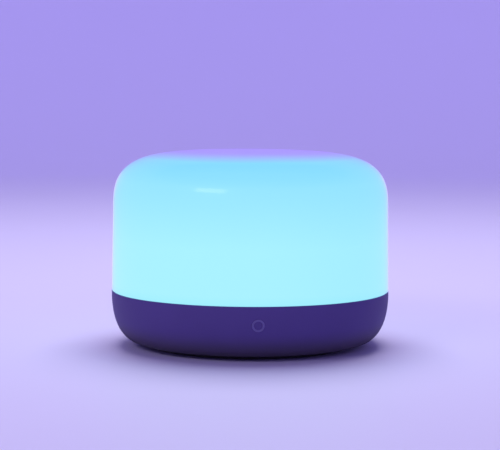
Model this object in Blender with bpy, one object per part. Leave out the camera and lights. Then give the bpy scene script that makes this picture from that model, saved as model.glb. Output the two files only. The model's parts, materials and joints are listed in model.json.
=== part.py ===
"""Smart bedside lamp: an opal shade on a bowl-shaped base, with one push button at the front.

Metres. The origin is at the middle of the footprint, on the table. +Z is up, and the
button faces -Y. Every turned piece stands on the Z axis. The button's pieces are turned
about the press axis, which runs inwards from the middle of the button's face.
"""

import math

import bmesh
import bpy
from mathutils import Matrix, Vector

# ---------------------------------------------------------------- driving dimensions
BODY_DIAMETER = 0.200
BODY_HEIGHT = 0.140
SEAM_HEIGHT = 0.0402  # lower edge of the shade's visible wall

# Clearances
GAP = 0.0003  # between pieces that seat on, pass through or slide in each other
SOLDER_GAP = 0.0001  # between a board and what is soldered to it
SEAM_GAP = 0.0004  # the shadow line between base and shade
SCREW_CLEARANCE = 0.0003  # around each screw's shank

# Shade
SHADE_WALL = 0.0024
SHADE_DRAFT = 0.016  # inward lean of the straight wall, per unit of height
SHADE_CORNER_ACROSS = 0.075
SHADE_CORNER_HEIGHT = 0.044
SHADE_CORNER_POWER = 3.45
SHADE_CROWN = 0.0008  # how far the top bulges
TONGUE_THICKNESS = 0.0011
TONGUE_DEPTH = 0.0052
LUG_COUNT = 6
LUG_WIDTH = 0.010
LUG_HEIGHT = 0.0014
LUG_REACH = 0.0016

# Base shell
BASE_WALL = 0.0026
BASE_BOTTOM = 0.0030  # height of its lower edge above the table
BASE_CORNER_ACROSS = 0.021
BASE_CORNER_POWER = 2.32
BASE_LIP = 0.004  # flat ring between the rounding and the bottom opening
RIM_WALL = 0.0010  # what is left of the wall outside the shade's tongue
GASKET_THICKNESS = 0.0010

# Bottom cover and foot
COVER_THICKNESS = 0.0024
COVER_DROP = 0.0004  # how far it stands below the base shell's lip
FOOT_WIDTH = 0.008
FOOT_INSET = 0.0015
FOOT_SEAT = 0.0012

# Columns that tie the cover, the base shell, the heat sink and the deck together
COLUMN_ANGLES = (35, 145, 215, 325)
COLUMN_RADIUS = 0.0040
COLUMN_INSET = 0.0157  # from the cover's edge to the columns' centres
RIB_THICKNESS = 0.0024
RIB_CLEAR = 0.0018  # below the tongue and above the lip
PILOT_DEPTH = 0.011

# Deck, heat sink and light source
DECK_THICKNESS = 0.0016
DECK_BELOW_SEAM = 0.0017  # from the seam down to the deck's upper face
DECK_MARGIN = 0.0004  # to the shade's tongue
DECK_COLLAR_THICKNESS = 0.0014
DECK_COLLAR_HEIGHT = 0.0020
WINDOW_MARGIN = 0.008  # from the columns' centres in to the deck's window
SINK_THICKNESS = 0.0020
SINK_MARGIN = 0.006  # from the columns' centres out to the sink's edge
SINK_RING_DEPTH = 0.004
SINK_RING_THICKNESS = 0.0016
SINK_RING_PITCH = 0.008
SINK_RING_COUNT = 3
PAD_THICKNESS = 0.0005
LED_BOARD_THICKNESS = 0.0016
LEAD_WAY = 0.008  # from the window's edge in to the board's edge
LED_COUNT = 10
LED_SIDE = 0.0035
LED_HEIGHT = 0.0014
LED_SOCKET_SIZE = (0.005, 0.006, 0.0021)
LED_SOCKET_INSET = 0.0045
LED_INSET = 0.010  # from the board's edge to the ring of packages
LED_SCREW_INSET = 0.004
LED_SCREW_ANGLES = (30, 150, 270)
DOME_WALL = 0.0015
DOME_RISE = 0.016
DOME_OVERLAP = 0.002  # how far its foot stands on the deck

# Driver board and what it carries
STANDOFF = 0.0067
STANDOFF_RADIUS = 0.0035
BOARD_THICKNESS = 0.0016
BOARD_WIDTH = 0.048
BOARD_FRONT = 0.030
BOARD_REAR = 0.034
BOARD_TONGUE_WIDTH = 0.018
BOARD_SCREW_INSET = 0.004
TALL_PART_CLEARANCE = 0.0033  # under the heat sink's rings
# Blocks on the driver board: size, (x, y), finish and the rounding of their edges
BOARD_BLOCKS = {
    "wifi_module": ((0.016, 0.024, 0.0008), (-0.009, -0.010), "green_board", 0.0),
    "driver_chip": ((0.007, 0.007, 0.0012), (0.011, -0.005), "chip", 0.0002),
    "inductor": ((0.012, 0.012, 0.0060), (0.011, 0.009), "ferrite", 0.0012),
    "led_connector": ((0.012, 0.006, 0.0060), (0.012, -0.017), "connector", 0.0003),
    "button_connector": ((0.008, 0.004, 0.0050), (0.003, -0.0265), "connector", 0.0003),
}
SHIELD_SIZE = (0.013, 0.015, 0.0020)
SHIELD_AT = (-0.009, -0.007)
SHIELD_PAD = 0.0003
CAPACITORS = ((0.005, 1.0, 0.012), (0.004, 0.8, 0.024))  # radius, share of the room, y
CAPACITOR_X = -0.013
CAN_GROOVE = 0.0004
JACK_SIZE = (0.009, 0.0144, 0.0110)
JACK_AXIS_ABOVE_BOARD = 0.0068
JACK_BORE_RADIUS = 0.00315
JACK_BORE_DEPTH = 0.0095
JACK_PIN_RADIUS = 0.0010
JACK_PIN_SETBACK = 0.0008
JACK_BOARD_OVERHANG = 0.0017
SOCKET_RADIUS = 0.0065
SOCKET_DEPTH = 0.0118
SOCKET_WALL = 0.0020
SOCKET_MOUTH_RADIUS = 0.0045

# Button, with depths counted inwards from its face
BUTTON_BELOW_SEAM = 0.0134
BUTTON_RADIUS = 0.0028
BUTTON_TRAVEL = 0.0006
RING_THICKNESS = 0.0011
RING_FLANGE = 0.0010
RING_FLANGE_THICKNESS = 0.0008
SHOULDER_REACH = 0.0012
SHOULDER_THICKNESS = 0.0010
STEM_RADIUS = 0.0015
SPRING_LENGTH = 0.0032
SPRING_WIRE_RADIUS = 0.00025
SPRING_RADIUS = 0.0030
SPRING_TURNS = 3.5
GUIDE_WALL = 0.0012
GUIDE_FLOOR_THICKNESS = 0.0016
STEM_PAST_GUIDE = 0.0014
SWITCH_SIDE = 0.0060
SWITCH_HEIGHT = 0.0030
PLUNGER_RADIUS = 0.0016
PLUNGER_PROUD = 0.0008
PLUNGER_LENGTH = 0.0017
BUTTON_BOARD_SIZE = (0.026, 0.009, 0.0012)
BUTTON_SCREW_SPACING = 0.020
BUTTON_PILLAR_RADIUS = 0.0028
BUTTON_BOSS_LENGTH = 0.0050

# Screws: shank radius, head radius, head height
SCREW_M3 = (0.0014, 0.0029, 0.0013)
SCREW_M2 = (0.0010, 0.0020, 0.0010)
THREAD_LENGTH = 0.009

# Leads
LED_LEAD_RADIUS = 0.0012
BUTTON_LEAD_RADIUS = 0.0009
LEAD_STUB = 0.001  # the straight bit at each end
LEAD_BELOW_DOME = 0.0027  # from the dome's inner face down to the lead's middle

# Smoothness
SEGMENTS = 36  # around each large turned piece
SMALL_SEGMENTS = 16
SCREW_SEGMENTS = 12
CORNER_STEPS = 6
DOME_STEPS = 5
NOTHING = 1e-9

# ---------------------------------------------------------------- derived levels and radii
BODY_RADIUS = BODY_DIAMETER / 2
RIM_TOP = SEAM_HEIGHT - SEAM_GAP
TONGUE_OUTER = BODY_RADIUS - RIM_WALL - GAP
TONGUE_INNER = TONGUE_OUTER - TONGUE_THICKNESS
TONGUE_BOTTOM = SEAM_HEIGHT - TONGUE_DEPTH
GASKET_TOP = TONGUE_BOTTOM - GAP
REBATE_FLOOR = GASKET_TOP - GASKET_THICKNESS - GAP
OPENING_RADIUS = BODY_RADIUS - BASE_CORNER_ACROSS - BASE_LIP
COVER_RADIUS = OPENING_RADIUS - GAP
COVER_UNDERSIDE = BASE_BOTTOM - COVER_DROP
COVER_TOP = COVER_UNDERSIDE + COVER_THICKNESS
FOOT_OUTER = COVER_RADIUS - FOOT_INSET
FOOT_INNER = FOOT_OUTER - FOOT_WIDTH
COLUMN_CENTRE = COVER_RADIUS - COLUMN_INSET
DECK_TOP = SEAM_HEIGHT - DECK_BELOW_SEAM
DECK_UNDERSIDE = DECK_TOP - DECK_THICKNESS
DECK_RADIUS = TONGUE_INNER - DECK_MARGIN
WINDOW_RADIUS = COLUMN_CENTRE - WINDOW_MARGIN
SINK_TOP = DECK_UNDERSIDE - GAP
SINK_UNDERSIDE = SINK_TOP - SINK_THICKNESS
SINK_RADIUS = COLUMN_CENTRE + SINK_MARGIN
COLUMN_TOP = SINK_UNDERSIDE - GAP
COLUMN_FOOT = COVER_TOP + GAP
LED_BOARD_RADIUS = WINDOW_RADIUS - LEAD_WAY
PAD_TOP = SINK_TOP + GAP + PAD_THICKNESS
LED_BOARD_UNDERSIDE = PAD_TOP + GAP
LED_BOARD_TOP = LED_BOARD_UNDERSIDE + LED_BOARD_THICKNESS
DOME_RADIUS = WINDOW_RADIUS + DOME_OVERLAP
BOARD_UNDERSIDE = COVER_TOP + STANDOFF + GAP
BOARD_TOP = BOARD_UNDERSIDE + BOARD_THICKNESS
PARTS_FLOOR = BOARD_TOP + SOLDER_GAP
PARTS_CEILING = SINK_UNDERSIDE - SINK_RING_DEPTH - TALL_PART_CLEARANCE
JACK_HEIGHT = PARTS_FLOOR + JACK_AXIS_ABOVE_BOARD
LEAD_HOLE_RADIUS = LEAD_WAY / 2 - 0.001
LEAD_HOLE_ANGLE = 300
LEAD_HOLE_CENTRE = WINDOW_RADIUS - LEAD_WAY / 2

# The button's pieces in order of depth, then outwards, and the power socket
RING_BACK = BASE_WALL + GAP + RING_FLANGE_THICKNESS
SHOULDER_FRONT = RING_BACK + GAP
SHOULDER_BACK = SHOULDER_FRONT + SHOULDER_THICKNESS
SPRING_START = SHOULDER_BACK + GAP
GUIDE_FLOOR = SPRING_START + SPRING_LENGTH + GAP
GUIDE_BACK = GUIDE_FLOOR + GUIDE_FLOOR_THICKNESS
STEM_END = GUIDE_BACK + STEM_PAST_GUIDE
PLUNGER_FRONT = STEM_END + GAP
SWITCH_FRONT = PLUNGER_FRONT + PLUNGER_PROUD
SWITCH_BACK = SWITCH_FRONT + SWITCH_HEIGHT
BUTTON_BOARD_FRONT = SWITCH_BACK + SOLDER_GAP
BUTTON_BOARD_BACK = BUTTON_BOARD_FRONT + BUTTON_BOARD_SIZE[2]
RING_INNER = BUTTON_RADIUS + GAP
RING_OUTER = RING_INNER + RING_THICKNESS
SHOULDER_RADIUS = BUTTON_RADIUS + SHOULDER_REACH
GUIDE_BORE = SHOULDER_RADIUS + GAP
GUIDE_OUTER = GUIDE_BORE + GUIDE_WALL
BEZEL_RADIUS = SOCKET_RADIUS + SOCKET_WALL


# ---------------------------------------------------------------- colours
def plastic(name, colour, roughness, metallic=0.0):
    material = bpy.data.materials.new(name)
    material.use_nodes = True
    shader = material.node_tree.nodes["Principled BSDF"]
    shader.inputs["Base Color"].default_value = (*colour, 1.0)
    shader.inputs["Roughness"].default_value = roughness
    shader.inputs["Metallic"].default_value = metallic
    return material


def make_materials():
    table = {
        "opal": ((0.40, 0.85, 1.00), 0.30, 0.0),
        "grey_shell": ((0.13, 0.10, 0.26), 0.55, 0.0),
        "ring_inlay": ((0.25, 0.21, 0.42), 0.40, 0.0),
        "dark_plastic": ((0.02, 0.02, 0.022), 0.50, 0.0),
        "silicone": ((0.015, 0.015, 0.017), 0.80, 0.0),
        "foam": ((0.75, 0.75, 0.73), 0.90, 0.0),
        "white_plastic": ((0.85, 0.85, 0.84), 0.45, 0.0),
        "frosted": ((0.90, 0.93, 0.95), 0.35, 0.0),
        "aluminium": ((0.62, 0.63, 0.65), 0.35, 1.0),
        "thermal_pad": ((0.45, 0.52, 0.62), 0.85, 0.0),
        "white_board": ((0.88, 0.88, 0.86), 0.40, 0.0),
        "green_board": ((0.02, 0.16, 0.07), 0.40, 0.0),
        "led_white": ((0.95, 0.80, 0.25), 0.35, 0.0),
        "led_colour": ((0.90, 0.92, 0.95), 0.25, 0.0),
        "steel": ((0.55, 0.55, 0.56), 0.30, 1.0),
        "chip": ((0.02, 0.02, 0.02), 0.40, 0.0),
        "connector": ((0.86, 0.84, 0.76), 0.45, 0.0),
        "capacitor": ((0.03, 0.05, 0.16), 0.30, 0.0),
        "ferrite": ((0.08, 0.08, 0.08), 0.70, 0.0),
        "brass": ((0.75, 0.55, 0.22), 0.25, 1.0),
        "cable": ((0.70, 0.70, 0.70), 0.50, 0.0),
    }
    return {name: plastic(name, *values) for name, values in table.items()}


# ---------------------------------------------------------------- modelling tools
def link(name, mesh, material, parent=None):
    node = bpy.data.objects.new(name, mesh)
    bpy.context.scene.collection.objects.link(node)
    if material:
        mesh.materials.append(material)
    node.parent = parent
    return node


def finish(bm, name, smooth_angle=35):
    bmesh.ops.recalc_face_normals(bm, faces=bm.faces)
    mesh = bpy.data.meshes.new(name)
    bm.to_mesh(mesh)
    bm.free()
    mesh.shade_smooth()
    mesh.set_sharp_from_angle(angle=math.radians(smooth_angle))
    return mesh


def turned_mesh(name, profile, segments):
    """A closed (radius, height) outline turned about Z. A level end on the axis is one flat face."""
    bm = bmesh.new()
    rings = []
    for radius, height in profile:
        if radius < NOTHING:
            rings.append([bm.verts.new((0, 0, height))])
            continue
        ring = []
        for step in range(segments):
            angle = 2 * math.pi * step / segments
            ring.append(bm.verts.new((radius * math.cos(angle), radius * math.sin(angle), height)))
        rings.append(ring)
    for low, high in zip(rings, rings[1:] + rings[:1]):
        if len(low) == 1 and len(high) == 1:
            continue
        if 1 in (len(low), len(high)) and abs(low[0].co.z - high[0].co.z) < NOTHING:
            bm.faces.new(max(low, high, key=len))
            continue
        for step in range(segments):
            after = (step + 1) % segments
            corners = [low[step % len(low)], low[after % len(low)]]
            corners += [high[after % len(high)], high[step % len(high)]]
            bm.faces.new(dict.fromkeys(corners))
    unused = [point for point in bm.verts if not point.link_faces]
    bmesh.ops.delete(bm, geom=unused, context="VERTS")
    return finish(bm, name)


def turned(name, profile, material, segments=SEGMENTS, parent=None, at=(0, 0, 0)):
    node = link(name, turned_mesh(name, profile, segments), material, parent)
    node.location = at
    return node


def disc(radius, low, high):
    return [(0, low), (radius, low), (radius, high), (0, high)]


def tube(inner, outer, low, high):
    return [(inner, low), (outer, low), (outer, high), (inner, high)]


def box(name, size, at, material, parent=None, bevel=0.0):
    """A box whose underside's middle is at the point given."""
    bm = bmesh.new()
    bmesh.ops.create_cube(bm, size=1.0)
    bmesh.ops.scale(bm, vec=size, verts=bm.verts)
    bmesh.ops.translate(bm, vec=(0, 0, size[2] / 2), verts=bm.verts)
    if bevel:
        bmesh.ops.bevel(bm, geom=bm.edges[:], offset=bevel, segments=1, affect="EDGES")
    node = link(name, finish(bm, name), material, parent)
    node.location = at
    return node


def plate(name, outline, thickness, material, parent=None):
    """An (x, y) outline extruded upwards from Z = 0."""
    bm = bmesh.new()
    face = bm.faces.new([bm.verts.new((x, y, 0)) for x, y in outline])
    raised = bmesh.ops.extrude_face_region(bm, geom=[face])["geom"]
    top = [item for item in raised if isinstance(item, bmesh.types.BMVert)]
    bmesh.ops.translate(bm, vec=(0, 0, thickness), verts=top)
    return link(name, finish(bm, name), material, parent)


def helper(node):
    """Marks a cutter or an added shape, which isn't a piece of its own."""
    node.hide_render = True
    node.display_type = "WIRE"
    return node


def combine(node, other, operation):
    step = node.modifiers.new(other.name, "BOOLEAN")
    step.operation = operation
    step.object = helper(other)
    return node


def add(node, other):
    return combine(node, other, "UNION")


def cut(node, other):
    return combine(node, other, "DIFFERENCE")


def cut_holes(node, label, radius, low, high, places, parent=None):
    """Round holes through a piece at each (x, y) place."""
    for number, (x, y) in enumerate(places, 1):
        name = f"{label}_{number}"
        cutter = turned(name, disc(radius, low, high), None, SCREW_SEGMENTS, parent, (x, y, 0))
        cut(node, cutter)


def around(radius, degrees):
    angle = math.radians(degrees)
    return radius * math.cos(angle), radius * math.sin(angle)


def evenly(count, first=0.0):
    return [first + 360 * step / count for step in range(count)]


def smooth_route(points, steps=4):
    """Catmull-Rom curve through the points."""
    stops = [Vector(p) for p in points]
    padded = [2 * stops[0] - stops[1], *stops, 2 * stops[-1] - stops[-2]]
    route = []
    for a, b, c, d in zip(padded, padded[1:], padded[2:], padded[3:]):
        for step in range(steps):
            t = step / steps
            point = 2 * b + (c - a) * t + (2 * a - 5 * b + 4 * c - d) * t**2
            route.append((point + (3 * b - a - 3 * c + d) * t**3) / 2)
    return [*route, stops[-1]]


def wire(name, route, radius, material, parent=None, resolution=1):
    curve = bpy.data.curves.new(name, "CURVE")
    curve.dimensions = "3D"
    curve.bevel_depth = radius
    curve.bevel_resolution = resolution
    curve.use_fill_caps = True
    spline = curve.splines.new("POLY")
    spline.points.add(len(route) - 1)
    for point, place in zip(spline.points, route):
        point.co = (*place, 1)
    return link(name, curve, material, parent)


# ---------------------------------------------------------------- outlines
def corner(centre, across, height, power, downwards=False):
    """A quarter of a superellipse, from its widest point to its top or its bottom."""
    sign = -1 if downwards else 1
    points = []
    for step in range(CORNER_STEPS + 1):
        angle = math.pi / 2 * step / CORNER_STEPS
        x = max(math.cos(angle), 0) ** (2 / power)
        z = math.sin(angle) ** (2 / power)
        points.append((centre[0] + across * x, centre[1] + sign * height * z))
    return points


def shade_skin(inset):
    """The shade's outer face, or its inner one, from the corner's start to the axis."""
    shoulder = BODY_HEIGHT - SHADE_CROWN - SHADE_CORNER_HEIGHT
    wall = BODY_RADIUS - SHADE_DRAFT * (shoulder - SEAM_HEIGHT)
    centre = (wall - SHADE_CORNER_ACROSS, shoulder)
    across = SHADE_CORNER_ACROSS - inset
    height = SHADE_CORNER_HEIGHT - inset
    skin = corner(centre, across, height, SHADE_CORNER_POWER)
    crowned = [(r, z + SHADE_CROWN * (1 - (r / wall) ** 2)) for r, z in skin]
    return [*crowned, (0, BODY_HEIGHT - inset)]


def base_skin(inset):
    """The base shell's outer face, or one inside it, from the rim down to the bottom edge."""
    centre = (BODY_RADIUS - BASE_CORNER_ACROSS, RIM_TOP)
    across = BASE_CORNER_ACROSS - inset
    height = RIM_TOP - BASE_BOTTOM - inset
    return corner(centre, across, height, BASE_CORNER_POWER, downwards=True)


def base_radius_at(height):
    """The base shell's outer radius at a height."""
    drop = (RIM_TOP - height) / (RIM_TOP - BASE_BOTTOM)
    share = (1 - drop**BASE_CORNER_POWER) ** (1 / BASE_CORNER_POWER)
    return BODY_RADIUS - BASE_CORNER_ACROSS * (1 - share)


# ---------------------------------------------------------------- shade and base
def make_shade(paint):
    outer = [(BODY_RADIUS, SEAM_HEIGHT), *shade_skin(0)]
    inner = [*reversed(shade_skin(SHADE_WALL)), (TONGUE_INNER, SEAM_HEIGHT + SHADE_WALL)]
    tongue = [(TONGUE_INNER, TONGUE_BOTTOM), (TONGUE_OUTER, TONGUE_BOTTOM), (TONGUE_OUTER, SEAM_HEIGHT)]
    shade = turned("shade", [*outer, *inner, *tongue], paint["opal"])
    depth = LUG_REACH + TONGUE_THICKNESS / 2
    for number, degrees in enumerate(evenly(LUG_COUNT), 1):
        x, y = around(TONGUE_INNER - LUG_REACH + depth / 2, degrees)
        low = DECK_UNDERSIDE - GAP - LUG_HEIGHT
        lug = box(f"shade_lug_{number}", (depth, LUG_WIDTH, LUG_HEIGHT), (x, y, low), None)
        lug.rotation_euler.z = math.radians(degrees)
        add(shade, lug)
    return shade


def make_rib(number, degrees):
    """A web that joins a column to the base shell's wall, cut to the wall's curve."""
    low = BASE_BOTTOM + BASE_WALL + RIB_CLEAR
    high = REBATE_FLOOR - RIB_CLEAR
    wall = [(r, z) for r, z in base_skin(BASE_WALL / 2) if low < z < high]
    ends = [base_radius_at(z) - BASE_WALL * 0.6 for z in (high, low)]
    outline = [(COLUMN_CENTRE, high), (ends[0], high), *wall, (ends[1], low), (COLUMN_CENTRE, low)]
    rib = plate(f"rib_{number}", outline, RIB_THICKNESS, None)
    upright = Matrix.Rotation(math.pi / 2, 4, "X")
    centred = Matrix.Translation((0, RIB_THICKNESS / 2, 0))
    rib.matrix_world = Matrix.Rotation(math.radians(degrees), 4, "Z") @ centred @ upright
    return rib


def make_base_shell(paint, press_axis):
    outer = base_skin(0)
    inner = [point for point in reversed(base_skin(BASE_WALL)) if point[1] < REBATE_FLOOR]
    lip = [(OPENING_RADIUS, BASE_BOTTOM), (OPENING_RADIUS, BASE_BOTTOM + BASE_WALL)]
    floor = (BODY_RADIUS - BASE_WALL, REBATE_FLOOR)
    rebate = BODY_RADIUS - RIM_WALL
    rim = [(rebate, REBATE_FLOOR), (rebate, RIM_TOP)]
    shell = turned("base_shell", [*outer, *lip, *inner, floor, *rim], paint["grey_shell"])
    places = [around(COLUMN_CENTRE, degrees) for degrees in COLUMN_ANGLES]
    for number, (place, degrees) in enumerate(zip(places, COLUMN_ANGLES), 1):
        column = disc(COLUMN_RADIUS, COLUMN_FOOT, COLUMN_TOP)
        add(shell, turned(f"column_{number}", column, None, SMALL_SEGMENTS, at=(*place, 0)))
        add(shell, make_rib(number, degrees))
    pilot = SCREW_M3[0] + SCREW_CLEARANCE
    low_end = COLUMN_FOOT + PILOT_DEPTH
    high_end = COLUMN_TOP - PILOT_DEPTH
    cut_holes(shell, "cover_pilot", pilot, COLUMN_FOOT - GAP, low_end, places)
    cut_holes(shell, "deck_pilot", pilot, high_end, COLUMN_TOP + GAP, places)
    cut_socket_hole(shell)
    add_button_seat(shell, press_axis)
    return shell


def socket_floor():
    """Distance from the lamp's axis to the floor of the power socket's pocket."""
    return base_radius_at(JACK_HEIGHT) - SOCKET_DEPTH


def socket_axis():
    """Lays a piece made about Z along +Y, through the middle of the power socket."""
    return Matrix.Translation((0, 0, JACK_HEIGHT)) @ Matrix.Rotation(-math.pi / 2, 4, "X")


def make_socket_bezel(paint):
    """A cup in the rear wall, trimmed flush with it, with the jack's mouth in its floor."""
    floor = socket_floor()
    back = floor - SOCKET_WALL
    outside = BODY_RADIUS + BASE_WALL
    outline = [(SOCKET_MOUTH_RADIUS, back), (BEZEL_RADIUS, back), (BEZEL_RADIUS, outside)]
    outline += [(SOCKET_RADIUS, outside), (SOCKET_RADIUS, floor), (SOCKET_MOUTH_RADIUS, floor)]
    bezel = turned("socket_bezel", outline, paint["dark_plastic"], SMALL_SEGMENTS)
    bezel.matrix_world = socket_axis()
    form = [(0, RIM_TOP), *base_skin(0), (0, BASE_BOTTOM)]
    return combine(bezel, turned("bezel_limit", form, None), "INTERSECT")


def cut_socket_hole(shell):
    through = disc(BEZEL_RADIUS + GAP, socket_floor(), BODY_RADIUS + BASE_WALL)
    hole = turned("socket_hole", through, None, SMALL_SEGMENTS)
    hole.matrix_world = socket_axis()
    cut(shell, hole)


def add_button_seat(shell, press_axis):
    """The hole for the ring, its level seat behind the wall, and the bosses for the screws."""
    middle = BASE_WALL / 2
    for number, side in enumerate((-1, 1), 1):
        at = (side * BUTTON_SCREW_SPACING / 2, 0, 0)
        boss = disc(BUTTON_PILLAR_RADIUS, middle, middle + BUTTON_BOSS_LENGTH)
        add(shell, turned(f"button_boss_{number}", boss, None, SMALL_SEGMENTS, press_axis, at))
    pilot = SCREW_M2[0] + SCREW_CLEARANCE
    spread = [(side * BUTTON_SCREW_SPACING / 2, 0) for side in (-1, 1)]
    ends = (BASE_WALL, middle + BUTTON_BOSS_LENGTH + GAP)
    cut_holes(shell, "button_pilot", pilot, *ends, spread, press_axis)
    level = disc(GUIDE_OUTER + GAP, BASE_WALL, 2 * BASE_WALL)
    cut(shell, turned("button_spot_face", level, None, SMALL_SEGMENTS, press_axis))
    through = disc(RING_OUTER + GAP, -BASE_WALL, 2 * BASE_WALL)
    cut(shell, turned("button_hole", through, None, SMALL_SEGMENTS, press_axis))


def make_gasket(paint):
    outline = tube(TONGUE_INNER, TONGUE_OUTER, REBATE_FLOOR + GAP, GASKET_TOP)
    return turned("shade_gasket", outline, paint["foam"])


def board_screw_places():
    x = BOARD_WIDTH / 2 - BOARD_SCREW_INSET
    front = -BOARD_FRONT + BOARD_SCREW_INSET
    rear = BOARD_REAR - BOARD_SCREW_INSET
    return [(-x, front), (x, front), (-x, rear), (x, rear)]


def make_bottom_cover(paint):
    """The plate that closes the bottom. Its standoffs carry the driver board."""
    groove = COVER_UNDERSIDE + FOOT_SEAT
    outline = [
        (0, COVER_UNDERSIDE),
        (FOOT_INNER - GAP, COVER_UNDERSIDE),
        (FOOT_INNER - GAP, groove),
        (FOOT_OUTER + GAP, groove),
        (FOOT_OUTER + GAP, COVER_UNDERSIDE),
        (COVER_RADIUS, COVER_UNDERSIDE),
        (COVER_RADIUS, COVER_TOP),
        (0, COVER_TOP),
    ]
    cover = turned("bottom_cover", outline, paint["dark_plastic"])
    standoff = disc(STANDOFF_RADIUS, COVER_TOP - COVER_THICKNESS / 2, COVER_TOP + STANDOFF)
    for number, (x, y) in enumerate(board_screw_places(), 1):
        add(cover, turned(f"standoff_{number}", standoff, None, SCREW_SEGMENTS, at=(x, y, 0)))
    pilot = SCREW_M2[0] + SCREW_CLEARANCE
    top = COVER_TOP + STANDOFF + GAP
    cut_holes(cover, "standoff_pilot", pilot, COVER_TOP, top, board_screw_places())
    places = [around(COLUMN_CENTRE, degrees) for degrees in COLUMN_ANGLES]
    shank, head, head_height = SCREW_M3
    hole = shank + SCREW_CLEARANCE
    cut_holes(cover, "cover_hole", hole, COVER_UNDERSIDE - GAP, COVER_TOP + GAP, places)
    recess = COVER_UNDERSIDE + head_height + GAP
    cut_holes(cover, "cover_recess", head + GAP, COVER_UNDERSIDE - GAP, recess, places)
    return cover


def make_foot_ring(paint):
    top = COVER_UNDERSIDE + FOOT_SEAT - GAP
    return turned("foot_ring", tube(FOOT_INNER, FOOT_OUTER, 0, top), paint["silicone"])


# ---------------------------------------------------------------- deck and light source
def make_deck(paint):
    collar = DOME_RADIUS + GAP
    outline = [
        (WINDOW_RADIUS, DECK_UNDERSIDE),
        (DECK_RADIUS, DECK_UNDERSIDE),
        (DECK_RADIUS, DECK_TOP),
        (collar + DECK_COLLAR_THICKNESS, DECK_TOP),
        (collar + DECK_COLLAR_THICKNESS, DECK_TOP + DECK_COLLAR_HEIGHT),
        (collar, DECK_TOP + DECK_COLLAR_HEIGHT),
        (collar, DECK_TOP),
        (WINDOW_RADIUS, DECK_TOP),
    ]
    deck = turned("light_deck", outline, paint["white_plastic"])
    places = [around(COLUMN_CENTRE, degrees) for degrees in COLUMN_ANGLES]
    hole = SCREW_M3[0] + SCREW_CLEARANCE
    cut_holes(deck, "deck_hole", hole, DECK_UNDERSIDE - GAP, DECK_TOP + GAP, places)
    return deck


def led_screw_places():
    return [around(LED_BOARD_RADIUS - LED_SCREW_INSET, degrees) for degrees in LED_SCREW_ANGLES]


def make_heat_sink(paint):
    """A plate with concentric cooling rings underneath."""
    low = SINK_UNDERSIDE - SINK_RING_DEPTH
    outline = [(0, SINK_TOP), (0, SINK_UNDERSIDE)]
    for ring in range(SINK_RING_COUNT):
        outer = LED_BOARD_RADIUS - LED_SCREW_INSET - SINK_RING_PITCH * (SINK_RING_COUNT - 1 - ring)
        outer -= SCREW_M2[1] + SINK_RING_THICKNESS
        inner = outer - SINK_RING_THICKNESS
        outline += [(inner, SINK_UNDERSIDE), (inner, low), (outer, low), (outer, SINK_UNDERSIDE)]
    outline += [(SINK_RADIUS, SINK_UNDERSIDE), (SINK_RADIUS, SINK_TOP)]
    sink = turned("heat_sink", outline, paint["aluminium"])
    ends = (SINK_UNDERSIDE - GAP, SINK_TOP + GAP)
    places = [around(COLUMN_CENTRE, degrees) for degrees in COLUMN_ANGLES]
    cut_holes(sink, "sink_hole", SCREW_M3[0] + SCREW_CLEARANCE, *ends, places)
    cut_holes(sink, "sink_thread", SCREW_M2[0] + SCREW_CLEARANCE, *ends, led_screw_places())
    lead_hole = [around(LEAD_HOLE_CENTRE, LEAD_HOLE_ANGLE)]
    cut_holes(sink, "sink_lead_hole", LEAD_HOLE_RADIUS, *ends, lead_hole)
    return sink


def make_light_source(paint):
    pad = disc(LED_BOARD_RADIUS, SINK_TOP + GAP, PAD_TOP)
    thermal_pad = turned("thermal_pad", pad, paint["thermal_pad"])
    plate_outline = disc(LED_BOARD_RADIUS, LED_BOARD_UNDERSIDE, LED_BOARD_TOP)
    board = turned("led_board", plate_outline, paint["white_board"])
    hole = SCREW_M2[0] + SCREW_CLEARANCE
    through = (SINK_TOP, LED_BOARD_TOP + GAP)
    cut_holes(thermal_pad, "pad_hole", hole, *through, led_screw_places())
    cut_holes(board, "led_board_hole", hole, *through, led_screw_places())
    for number, degrees in enumerate(evenly(LED_COUNT), 1):
        kind = "led_white" if number % 2 else "led_colour"
        x, y = around(LED_BOARD_RADIUS - LED_INSET, degrees)
        size = (LED_SIDE, LED_SIDE, LED_HEIGHT)
        at = (x, y, LED_BOARD_TOP + SOLDER_GAP)
        package = box(f"{kind}_{(number + 1) // 2}", size, at, paint[kind], bevel=LED_HEIGHT / 4)
        package.rotation_euler.z = math.radians(degrees)


def dome_ceiling(radius):
    """Height of the mixing dome's inner face at a distance from its axis."""
    share = radius / (DOME_RADIUS - DOME_WALL)
    return DECK_TOP + GAP + (DOME_RISE - DOME_WALL) * math.sqrt(1 - share**2)


def make_mixing_dome(paint):
    """The frosted dome that blends the light of the packages."""
    foot = DECK_TOP + GAP
    outline = []
    for radius, rise in ((DOME_RADIUS, DOME_RISE), (DOME_RADIUS - DOME_WALL, DOME_RISE - DOME_WALL)):
        quarter = []
        for step in range(DOME_STEPS + 1):
            angle = math.pi / 2 * step / DOME_STEPS
            quarter.append((radius * math.cos(angle), foot + rise * math.sin(angle)))
        quarter[-1] = (0, quarter[-1][1])
        outline += quarter if not outline else reversed(quarter)
    return turned("mixing_dome", outline, paint["frosted"])


# ---------------------------------------------------------------- driver board
def jack_face():
    return socket_floor() - SOCKET_WALL - GAP


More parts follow.
